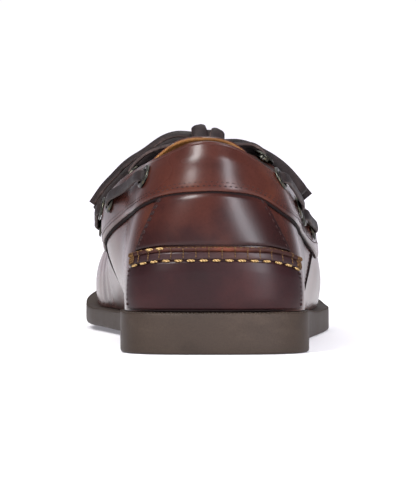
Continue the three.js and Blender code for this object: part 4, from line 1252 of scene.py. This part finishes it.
RIDGE_STITCH_PITCH = 4.9
RIDGE_STITCH_LENGTH = 3.4
RIDGE_STITCH_BOW = 0.3
RIDGE_THREAD = 0.2
HEEL_RIDGE_END = 0.112
TOE_RIDGE_START = 0.61
HEAD_STITCHES = (28.5, 23.6)
WRAP_TURNS = 5
WRAP_PITCH = 0.75


def make_ridge_threads():
    """Cream stitches along the foot of the raised seam, and the threads that cross over it."""
    cream, rust = [], []
    for start, end in ((-HEEL_RIDGE_END, HEEL_RIDGE_END), (-1, -TOE_RIDGE_START), (TOE_RIDGE_START, 1)):
        heel = abs(start) < 0.5
        stand = QUARTER_STEP if heel else -QUARTER_STEP
        w = np.linspace(start, end, 500)
        r = rib(w)
        foot = seam_height(r.way, r.side) - SEAM_WIDTH / 2
        line = surface_line(w, at_height(w, foot - 0.2), PANEL_TOP + 0.1 if heel else stand + 0.15)
        marks = marks_along(*line, RIDGE_STITCH_PITCH)
        cream.append(beads(marks, RIDGE_STITCH_LENGTH, 0.95, bow=RIDGE_STITCH_BOW))
        head = at_height(w, foot + SEAM_WIDTH * 0.93)
        on_top = stand + SEAM_PROUD * seam_raised(r.way) * 0.8 + 0.2
        rust.append(stitch_row(w, head, on_top, RIDGE_STITCH_PITCH / 2, 1.9, 0.4))
        count = len(marks[0])
        spots = np.interp(np.arange(count) + 0.98, np.linspace(0, count, len(w)), w)
        if heel:
            wraps = HEEL_RIDGE_END + (np.arange(WRAP_TURNS) - WRAP_TURNS / 2) * WRAP_PITCH / EDGE_LENGTH
            spots = np.concatenate([-wraps, spots, wraps])
        lift = np.linspace(-1.02, 1.05, 17)
        for spot in spots:
            place = np.full(lift.shape, spot)
            heights = seam_height(abs(spot), np.sign(spot) or 1) + lift * SEAM_WIDTH / 2
            out = stand + SEAM_PROUD * ridge(lift) * seam_raised(abs(spot)) + 0.22
            rust.append(tube(*surface_line(place, at_height(place, heights), out), RIDGE_THREAD))
    for way in HEAD_STITCHES:
        w = (-way + np.linspace(-2, 2, 9)) / EDGE_LENGTH
        t = at_height(w, seam_height(np.abs(w), -1) + SEAM_WIDTH * 0.36)
        marks = marks_along(*surface_line(w, t, QUARTER_STEP + SEAM_PROUD + 0.4), 3.5)
        cream.append(beads(marks, RIDGE_STITCH_LENGTH, 1.1, bow=RIDGE_STITCH_BOW))
    threads("ridge_stitches", cream, CREAM_THREAD)
    threads("ridge_threads", rust, RUST_THREAD)


TREAD_MARGIN = 14
SOLE_BEVEL = 1.1
TREAD_EDGE = 5
TREAD_DEPTH = 1.3
RING_PLACES = 720
RING_WAYS = -1 + 2 * np.arange(RING_PLACES) / RING_PLACES
BEVEL_STEPS = 5
SERRATION_PITCH = 1.7
SERRATION_LENGTH = 1.2
SERRATION_THICK = 0.7
SERRATION_SINK = 0.05


def ring(inset, height):
    """A line round the sole. height gives its z from y and side."""
    edge = inset_edge(RING_WAYS, np.full(RING_PLACES, float(inset)))
    return np.column_stack([edge, height(edge[:, 1], np.where(RING_WAYS < 0, -1, 1))])


def cap_faces(count, start):
    """Faces that close a ring, each across from the inner to the outer side."""
    half = count // 2
    end = start + count
    quads = [[start + k, start + k + 1, end - k - 1, end - k] for k in range(1, half - 1)]
    return [[start, start + 1, end - 1]] + quads + [[start + half - 1, start + half, start + half + 1]]


def ringed(rings):
    """Points and faces of a closed body through rings from its underside to its top."""
    count = len(rings[0])
    faces = grid_faces(len(rings), count, closed=True).tolist()
    return np.concatenate(rings), faces + cap_faces(count, 0) + cap_faces(count, (len(rings) - 1) * count)


def tread_share(inset):
    return (TREAD_MARGIN - inset) / (TREAD_MARGIN - SOLE_BEVEL)


def tread_height(y, side, steep):
    return mix(sole_bottom(y), tread_rim(y, side), steep)


def below_top(drop):
    return lambda y, side: sole_top(y) - drop


def make_outsole():
    def tread(inset, lift):
        return ring(inset, lambda y, side: tread_height(y, side, tread_share(inset)) + lift)

    def lower_bevel(turn):
        rise = SOLE_BEVEL * (1 - math.cos(turn))
        return ring(SOLE_BEVEL * (1 - math.sin(turn)), lambda y, side: tread_rim(y, side) + rise)

    def wall(share):
        return ring(0, lambda y, side: mix(tread_rim(y, side) + SOLE_BEVEL, sole_top(y) - SOLE_BEVEL, share))

    def upper_bevel(turn):
        return ring(SOLE_BEVEL * (1 - math.cos(turn)), below_top(SOLE_BEVEL * (1 - math.sin(turn))))

    turns = np.linspace(0, np.pi / 2, BEVEL_STEPS)
    rings = [tread(TREAD_MARGIN, TREAD_DEPTH), tread(TREAD_EDGE, TREAD_DEPTH), tread(TREAD_EDGE, 0)]
    rings += [lower_bevel(turn) for turn in turns] + [wall(share) for share in (0.25, 0.5, 0.75)]
    rings += [upper_bevel(turn) for turn in turns] + [ring(TREAD_MARGIN, below_top(0))]
    mesh_piece("outsole_rubber", *ringed(rings), [RUBBER], "rubber_sole", sharp=50, node="outsole")
    edge = ring(0.35, below_top(0.25))
    marks = marks_along(edge, unit(edge - ring(2, below_top(0.25))), SERRATION_PITCH)
    teeth = beads(marks, SERRATION_LENGTH, SERRATION_THICK, SERRATION_SINK)
    threads("sole_serration", [teeth], RUBBER, "rubber_sole")


SIPE_PITCH = 2.6
SIPE_WIDTH = 0.5
WAVE_LENGTH = 9
WAVE_HEIGHT = 1.1
TREAD_COLUMNS = 110
TREAD_ENDS = 9
BAR_INSET = TREAD_EDGE + 0.6


def make_tread():
    """The siped tread: bars with wavy edges across the sole, standing in a shallow recess."""
    w = np.linspace(0.001, 0.999, 1500)
    inner, outer = (inset_edge(side * w, np.full(w.shape, BAR_INSET)) for side in (-1, 1))
    share = np.linspace(-1, 1, TREAD_COLUMNS)
    bar = SIPE_PITCH - SIPE_WIDTH
    points, faces = [], []
    for k in range(int((LENGTH - 2 * TREAD_ENDS) / SIPE_PITCH)):
        for along, lift in ((0, TREAD_DEPTH), (0, 0), (bar, 0), (bar, TREAD_DEPTH)):
            y = TREAD_ENDS + k * SIPE_PITCH + along
            left, right = (np.interp(y, edge[:, 1], edge[:, 0]) for edge in (inner, outer))
            x = mix(left, right, (share + 1) / 2)
            wavy = y + WAVE_HEIGHT * np.sin(2 * np.pi * x / WAVE_LENGTH) * (1 - share ** 6)
            side = np.where(x < middle(wavy), -1, 1)
            steep = np.clip(tread_share(BAR_INSET + np.minimum(x - left, right - x)), 0, 1)
            points.append(np.column_stack([x, wavy, tread_height(wavy, side, steep) + lift]))
        start = 4 * TREAD_COLUMNS * k
        faces.append(grid_faces(4, TREAD_COLUMNS, start=start))
        faces.append(start + np.arange(4) * TREAD_COLUMNS + np.array([[0], [TREAD_COLUMNS - 1]]))
    mesh_piece("tread_bars", np.concatenate(points), np.concatenate(faces), [TREAD], "rubber_sole",
               smooth=False)


FOOTBED_SAG = 1.1
FOOTBED_ROOM = 0.6


def make_insole():
    def outline(extra, lift):
        inset = feather_inset(sole_edge(RING_WAYS)[:, 1] / LENGTH) + WALL + FOOTBED_ROOM + extra
        edge = inset_edge(RING_WAYS, inset)
        return np.column_stack([edge, sole_top(edge[:, 1]) + lift])

    low, high = CLEARANCE, CLEARANCE + INSOLE_THICKNESS
    rings = [outline(0, low), outline(0, high - 0.8), outline(0.25, high - 0.2), outline(0.9, high)]
    rings += [outline(extra, high - FOOTBED_SAG * smooth_step(0, 20, extra)) for extra in (3, 6, 10, 15, 20)]
    mesh_piece("insole_leather", *ringed(rings), [LINING], "lining", sharp=50, node="insole")


TONGUE_EDGE = 0.7
TONGUE_OUT = -(WALL + TONGUE_ROOM)


def tongue_places(across, along):
    off = np.abs(across - 0.5) * 2
    w = np.where(across < 0.5, 1, -1) * way_to_crest(mix(TONGUE_BACK + 7 * off ** 4, TONGUE_FRONT, along))
    return w, at_gap(w, off * TONGUE_WIDTH / 2)


def make_tongue():
    across, along = np.meshgrid(crowded(61, 0.03, 5), crowded(70, 0.02, 5), indexing="ij")
    top = shell(*tongue_places(across, along), TONGUE_OUT)
    thin = eased_edges(*across.shape, 5, 5, TONGUE_EDGE)
    sway = 0.35 * np.sin(along * 9) * np.sin(across * 7) + 0.25 * np.sin(along * 21 + across * 4)
    sway = sway * smooth_step(0, 0.08, along)
    over, under = (top - down[..., None] * np.array([0, 0, 1])
                   for down in (thin - sway, TONGUE_THICKNESS - thin - sway))
    points, faces, slots = slab(over, under)
    mesh_piece("tongue_leather", points, faces, [LEATHER, LINING], "lining", slots, sharp=60, node="tongue")
    line = np.linspace(0.03, 0.97, 200)
    places = tongue_places(line, np.full(line.shape, 0.045))
    edge = shell(*places, TONGUE_OUT) - np.array([0, 0, TONGUE_THICKNESS - 0.1])
    marks = marks_along(edge, np.tile([0, 0, -1.0], (len(edge), 1)), 2.9)
    threads("tongue_stitches", [beads(marks, 2.1, 0.55, 0.05, 0.2)], CREAM_THREAD, "lining")


# An eyelet's section as radius and height, from its outer edge over the top into its hole
EYELET_RINGS = [
    (EYELET_OUTER / 2, 0.0), (EYELET_OUTER / 2, 0.35), (4.75, 0.72), (4.3, EYELET_HEIGHT),
    (3.7, EYELET_HEIGHT), (3.2, 0.72), (2.9, 0.35), (EYELET_HOLE / 2, -0.2), (EYELET_HOLE / 2, -1.1)]
EYELET_SIDES = 48
HOLE_RADIUS = 2.85
HOLE_FLOOR = -0.35


def make_eyelets():
    x, y = (part[:, None] for part in circle(EYELET_SIDES))
    for side, word in SIDES:
        for number, (w, t) in enumerate(eyelet_places(side), 1):
            w, t = np.array(w), np.array(t)
            out = normal(w, t)
            centre = shell(w, t, BAND_TOP + EYELET_SEAT)
            a = unit(np.cross(out, [0, 0, 1.0]))
            rim = x * a + y * np.cross(out, a)
            rings = [centre + out * up + r * rim for r, up in EYELET_RINGS]
            faces = grid_faces(len(rings), EYELET_SIDES, closed=True)
            mesh_piece(f"eyelet_brass_{word}_{number}", np.concatenate(rings), faces, [BRASS], "eyelet_metal",
                       sharp=60, node=f"eyelet_{word}_{number}")
            # A dark disc down in each hole: painted shadow for the shade inside the eyelet.
            mesh_piece(f"eyelet_hole_shadow_{word}_{number}", centre + out * HOLE_FLOOR + HOLE_RADIUS * rim,
                       [range(EYELET_SIDES)], [SHADOW_PAINT], "eyelet_metal")


# The lace. Its pieces between eyelets dip into the holes, and each one's seed gives its width's variation.
BAR_REST = 0.9
BAR_PLACE = 155
STRETCH_PLACE = 133
EDGE_CLEAR = BAND_TOP + LACE_SEAT + LACE_THICKNESS / 2
LACE_STEP = 1.2
HOLE_DEPTH = 1.0
ACROSS_THROAT = np.array([0.0, 1.0, 0.0])


def over_throat(side, y, share, out):
    """A point of the lace beside the throat, at a share of its gap from the middle."""
    gap = share * throat_gap(min(y, THROAT_FRONT - THROAT_CORNER))
    w = side * way_to_crest(y)
    return shell(w, at_gap(w, gap), out)


def edge_slots(faces):
    """The narrow sides of a strap are paler: a cut edge's own lighter colour, with a painted highlight along
    it.
    """
    number = np.arange(len(faces))
    half = STRAP_SECTION // 2
    narrow = np.isin(number % STRAP_SECTION, (0, half - 1, half, STRAP_SECTION - 1))
    return narrow & (number < len(faces) - 2 * STRAP_SECTION)


def strap_piece(name, points, out, sharp, node=None, **shape):
    vertices, faces = strap(points, out, **shape)
    return mesh_piece(name, vertices, faces, [RAWHIDE, RAWHIDE_EDGE_AND_HIGHLIGHT], "rawhide", edge_slots(faces),
                      sharp=sharp, node=node)


def lace_strap(node, control, face, seed):
    """A lace piece along given points. face gives its outward directions from its points."""
    span = spans(np.asarray(control, float)).sum()
    points = catmull_rom(control, max(8, int(span / LACE_STEP)))
    return strap_piece(f"{node}_strap", points, face(points), 50, node, seed=seed), points


def turned(across):
    """Faces of a strap that bends about one direction only."""
    return lambda points: unit(np.cross(across, unit(np.gradient(points, axis=0))))


def make_runs():
    for side, word in SIDES:
        places = eyelet_places(side)
        for number, first in ((1, 0), (2, 2)):
            (w1, t1), (w2, t2) = places[first], places[first + 1]
            share = np.linspace(0, 1, 9)
            w, t = mix(w1, w2, share), mix(t1, t2, share)
            out = np.full(9, LACE_MIDDLE)
            out[[0, -1]] = EYELET_TOP - 0.2
            line = shell(w, t, out)
            holes = shell(np.array([w1, w2]), np.array([t1, t2]), BAND_TOP - HOLE_DEPTH)
            across = unit(np.cross(line[-1] - line[0], normal(w, t)[4]))
            lace_strap(f"lace_run_{word}_{number}", np.concatenate([holes[:1], line, holes[1:]]),
                       turned(across), 10 * number + side)


def from_eyelet(side, number):
    """The first two points of a lace that rises out of one eyelet."""
    w, t = eyelet_places(side)[number - 1]
    return [shell(np.array(w), np.array(t), out) for out in (BAND_TOP - HOLE_DEPTH, EYELET_TOP + 0.6)]


def make_bar():
    def half(side):
        return from_eyelet(side, 6) + [over_throat(side, BAR_PLACE, 1.45, LACE_MIDDLE + BAR_REST),
                                       over_throat(side, BAR_PLACE, 0.8, EDGE_CLEAR + BAR_REST)]
    control = half(-1) + [over_throat(1, BAR_PLACE, 0, EDGE_CLEAR)] + half(1)[::-1]
    lace_strap("lace_bar", control, turned(ACROSS_THROAT), 5)


def make_stretches():
    for side, word in SIDES:
        control = from_eyelet(side, 5) + [over_throat(side, STRETCH_PLACE + 1, 1.5, LACE_MIDDLE + BAR_REST)]
        control += [np.array([x * side, y, z]) for x, y, z in STRETCH]
        lace_strap(f"lace_stretch_{word}", control, turned(ACROSS_THROAT * side), 7 + side)


def in_frame(points):
    return (np.asarray(points) - np.array([0, HEEL_CENTRE, 0])) * MM


TAIL_TILT = 22


def tilted(points):
    turn = math.radians(TAIL_TILT)
    return away_from_hub(points) * math.cos(turn) + standing_faces(points) * math.sin(turn)


def make_ends(knot_pieces):
    """The two free ends and the two loops of the bow, each a lace strap that leaves the knot."""
    for side, word in SIDES:
        mirror = np.array([side, 1, 1])
        tail, points = lace_strap(f"lace_tail_{word}", np.array(TAILS[side]) * mirror,
                                  standing_faces if side > 0 else tilted, 20 + side)
        placed = in_frame(points)
        line_length(points)
        route = np.array(LOOPS[side]) * mirror
        tip = route[-1] + unit(route[-1] - route[-2]) * LOOP_OPENING / 3 + np.array([0, LOOP_OPENING / 2, 0])
        control = np.concatenate([route, [tip], route[::-1] + np.array([0, LOOP_OPENING, 0])])
        loop, points = lace_strap(f"lace_loop_{word}", control, standing_faces, 30 + side)
        placed = in_frame(points)
        line_length(points)


KNOT_TOP = 92.6
KNOT_CORE = (5.4, 4.2, 6.6)
KNOT_SIDES = 24
# The strands over the knot: the middle's x, how far it leans, how much lower it is, and its face's tilt
KNOT_STRANDS = {"left": (-2.9, -1.4, 0.0, -4), "right": (2.9, 1.5, 1.9, 26)}


def make_knot():
    """The bow's middle: two strands laid side by side over the crossing, round a plain core."""
    centre = np.array([0, KNOT_Y, KNOT_TOP - KNOT_HEIGHT / 2])
    x, y = circle(KNOT_SIDES)
    rise = np.linspace(-np.pi / 2, np.pi / 2, 14)[1:-1]
    ball = [centre + np.array(KNOT_CORE) * np.column_stack([
        math.cos(a) * x, math.cos(a) * y, np.full(KNOT_SIDES, math.sin(a))]) for a in rise]
    pieces = [mesh_piece("lace_knot_core", np.concatenate(ball), capped(len(ball), KNOT_SIDES), [RAWHIDE],
                         "rawhide", sharp=80, node="lace_knot")]
    angles = np.linspace(-0.62 * np.pi, 1.62 * np.pi, 60)
    for name, (x, lean, drop, tilt) in KNOT_STRANDS.items():
        points = centre + np.column_stack([
            x + lean * np.sin(angles), 4.5 * np.cos(angles), (7.4 - drop / 2) * np.sin(angles) - drop / 2])
        out = unit(points - centre - np.array([x - 3 * math.sin(math.radians(tilt)), 0, 0]))
        pieces.append(strap_piece(f"lace_knot_{name}", points, out, 60, width=6.6, thick=2.0, cup=0.9,
                                  seed=3))
    return pieces


make_upper()
make_band()
make_roll()
make_heel_panels()
make_stitches()
make_ridge_threads()
make_seam_lines()
make_outsole()
make_tread()
make_insole()
make_tongue()
make_eyelets()
make_runs()
make_bar()
make_stretches()
make_ends(make_knot())

# The stage. The camera looks from directly behind and a little above, as in the photo. A pale floor and a
# surround that is bright near the horizon lie under soft lights.
PHOTO_FOCAL = 281.25
SENSOR = 36
CAMERA_PLACE = (-0.039, -1.538, 0.086)
CAMERA_DOWN = 1.5275
CAMERA_TURN = -1.36
SURROUND = (0.94, 0.91, 1.0, 1)
FLOOR_COLOUR = (226, 225, 226)
FLOOR_HALF = 20.0
FLOOR_DROP = 0.0002
FLOOR_GLOW = (0.22, 1.05)
GLOW_REACH = (0.7, 2.4)
SKY = (1.12, 0.28)
SKY_HEIGHT = (0.05, 0.2)
LIGHT_AIM = 0.05
COOL = (0.93, 0.93, 1.0)


def make_camera():
    data = bpy.data.cameras.new("camera")
    data.lens = PHOTO_FOCAL
    data.sensor_width = SENSOR
    data.clip_end = 20
    camera = add("camera", data)
    camera.location = CAMERA_PLACE
    camera.rotation_euler = (math.radians(90 - CAMERA_DOWN), 0, math.radians(CAMERA_TURN))
    bpy.context.scene.camera = camera
    bpy.context.scene.view_settings.view_transform = "Standard"


def make_floor():
    material, nodes, shader, place = new_material("pale_floor")
    away = nodes.add("ShaderNodeVectorMath", {0: place}, operation="LENGTH").outputs["Value"]
    nodes.fill(shader, {
        "Base Color": linear(FLOOR_COLOUR),
        "Roughness": 0.9,
        "Specular IOR Level": 0.1,
        "Emission Color": SURROUND,
        "Emission Strength": nodes.between(away, *FLOOR_GLOW, *GLOW_REACH),
    })
    corners = [(x * FLOOR_HALF, y * FLOOR_HALF, 0) for x, y in ((-1, -1), (1, -1), (1, 1), (-1, 1))]
    mesh = bpy.data.meshes.new("floor")
    mesh.from_pydata(corners, [], [(0, 1, 2, 3)])
    mesh.materials.append(material)
    floor = add("floor", mesh)
    floor.location.z = -FLOOR_DROP


def area_light(name, place, aim, size, power, colour=(1, 1, 1)):
    data = bpy.data.lights.new(name, "AREA")
    data.shape = "RECTANGLE"
    data.size, data.size_y = size
    data.energy = power
    data.color = colour
    light = add(name, data)
    light.location = place
    light.rotation_euler = (Vector(aim) - Vector(place)).to_track_quat("-Z", "Y").to_euler()


def studio_light(name, azimuth, elevation, away, size, power, colour=(1, 1, 1)):
    """An area light that faces the shoe. The azimuth is seen from behind the shoe, positive to the right."""
    a, e = math.radians(azimuth), math.radians(elevation)
    level = away * math.cos(e)
    place = (level * math.sin(a), -level * math.cos(a), LIGHT_AIM + away * math.sin(e))
    area_light(name, place, (0, 0, LIGHT_AIM), size, power, colour)


def make_lights():
    area_light("overhead", (0, 0.3, 2.0), (0, 0.1, 0), (2.2, 1.6), 30)
    studio_light("key_left", -33, 38, 1.3, (0.26, 0.66), 22)
    studio_light("soft_right", 27, 19, 1.3, (0.26, 0.8), 12, COOL)
    studio_light("wide_right", 29, 19, 1.5, (0.7, 0.9), 6, COOL)
    area_light("front_fill", (0.3, 1.3, 1.4), (0, 0.1, 0.05), (1.0, 0.8), 5)


def make_world():
    world = bpy.data.worlds.new("surround")
    world.use_nodes = True
    nodes = Nodes(world.node_tree)
    place = nodes.add("ShaderNodeTexCoord", {}).outputs["Generated"]
    height = nodes.add("ShaderNodeSeparateXYZ", {"Vector": place}).outputs["Z"]
    nodes.fill(world.node_tree.nodes["Background"], {
        "Color": SURROUND,
        "Strength": nodes.between(height, *SKY, *SKY_HEIGHT),
    })
    bpy.context.scene.world = world


make_camera()
make_floor()
make_lights()
make_world()
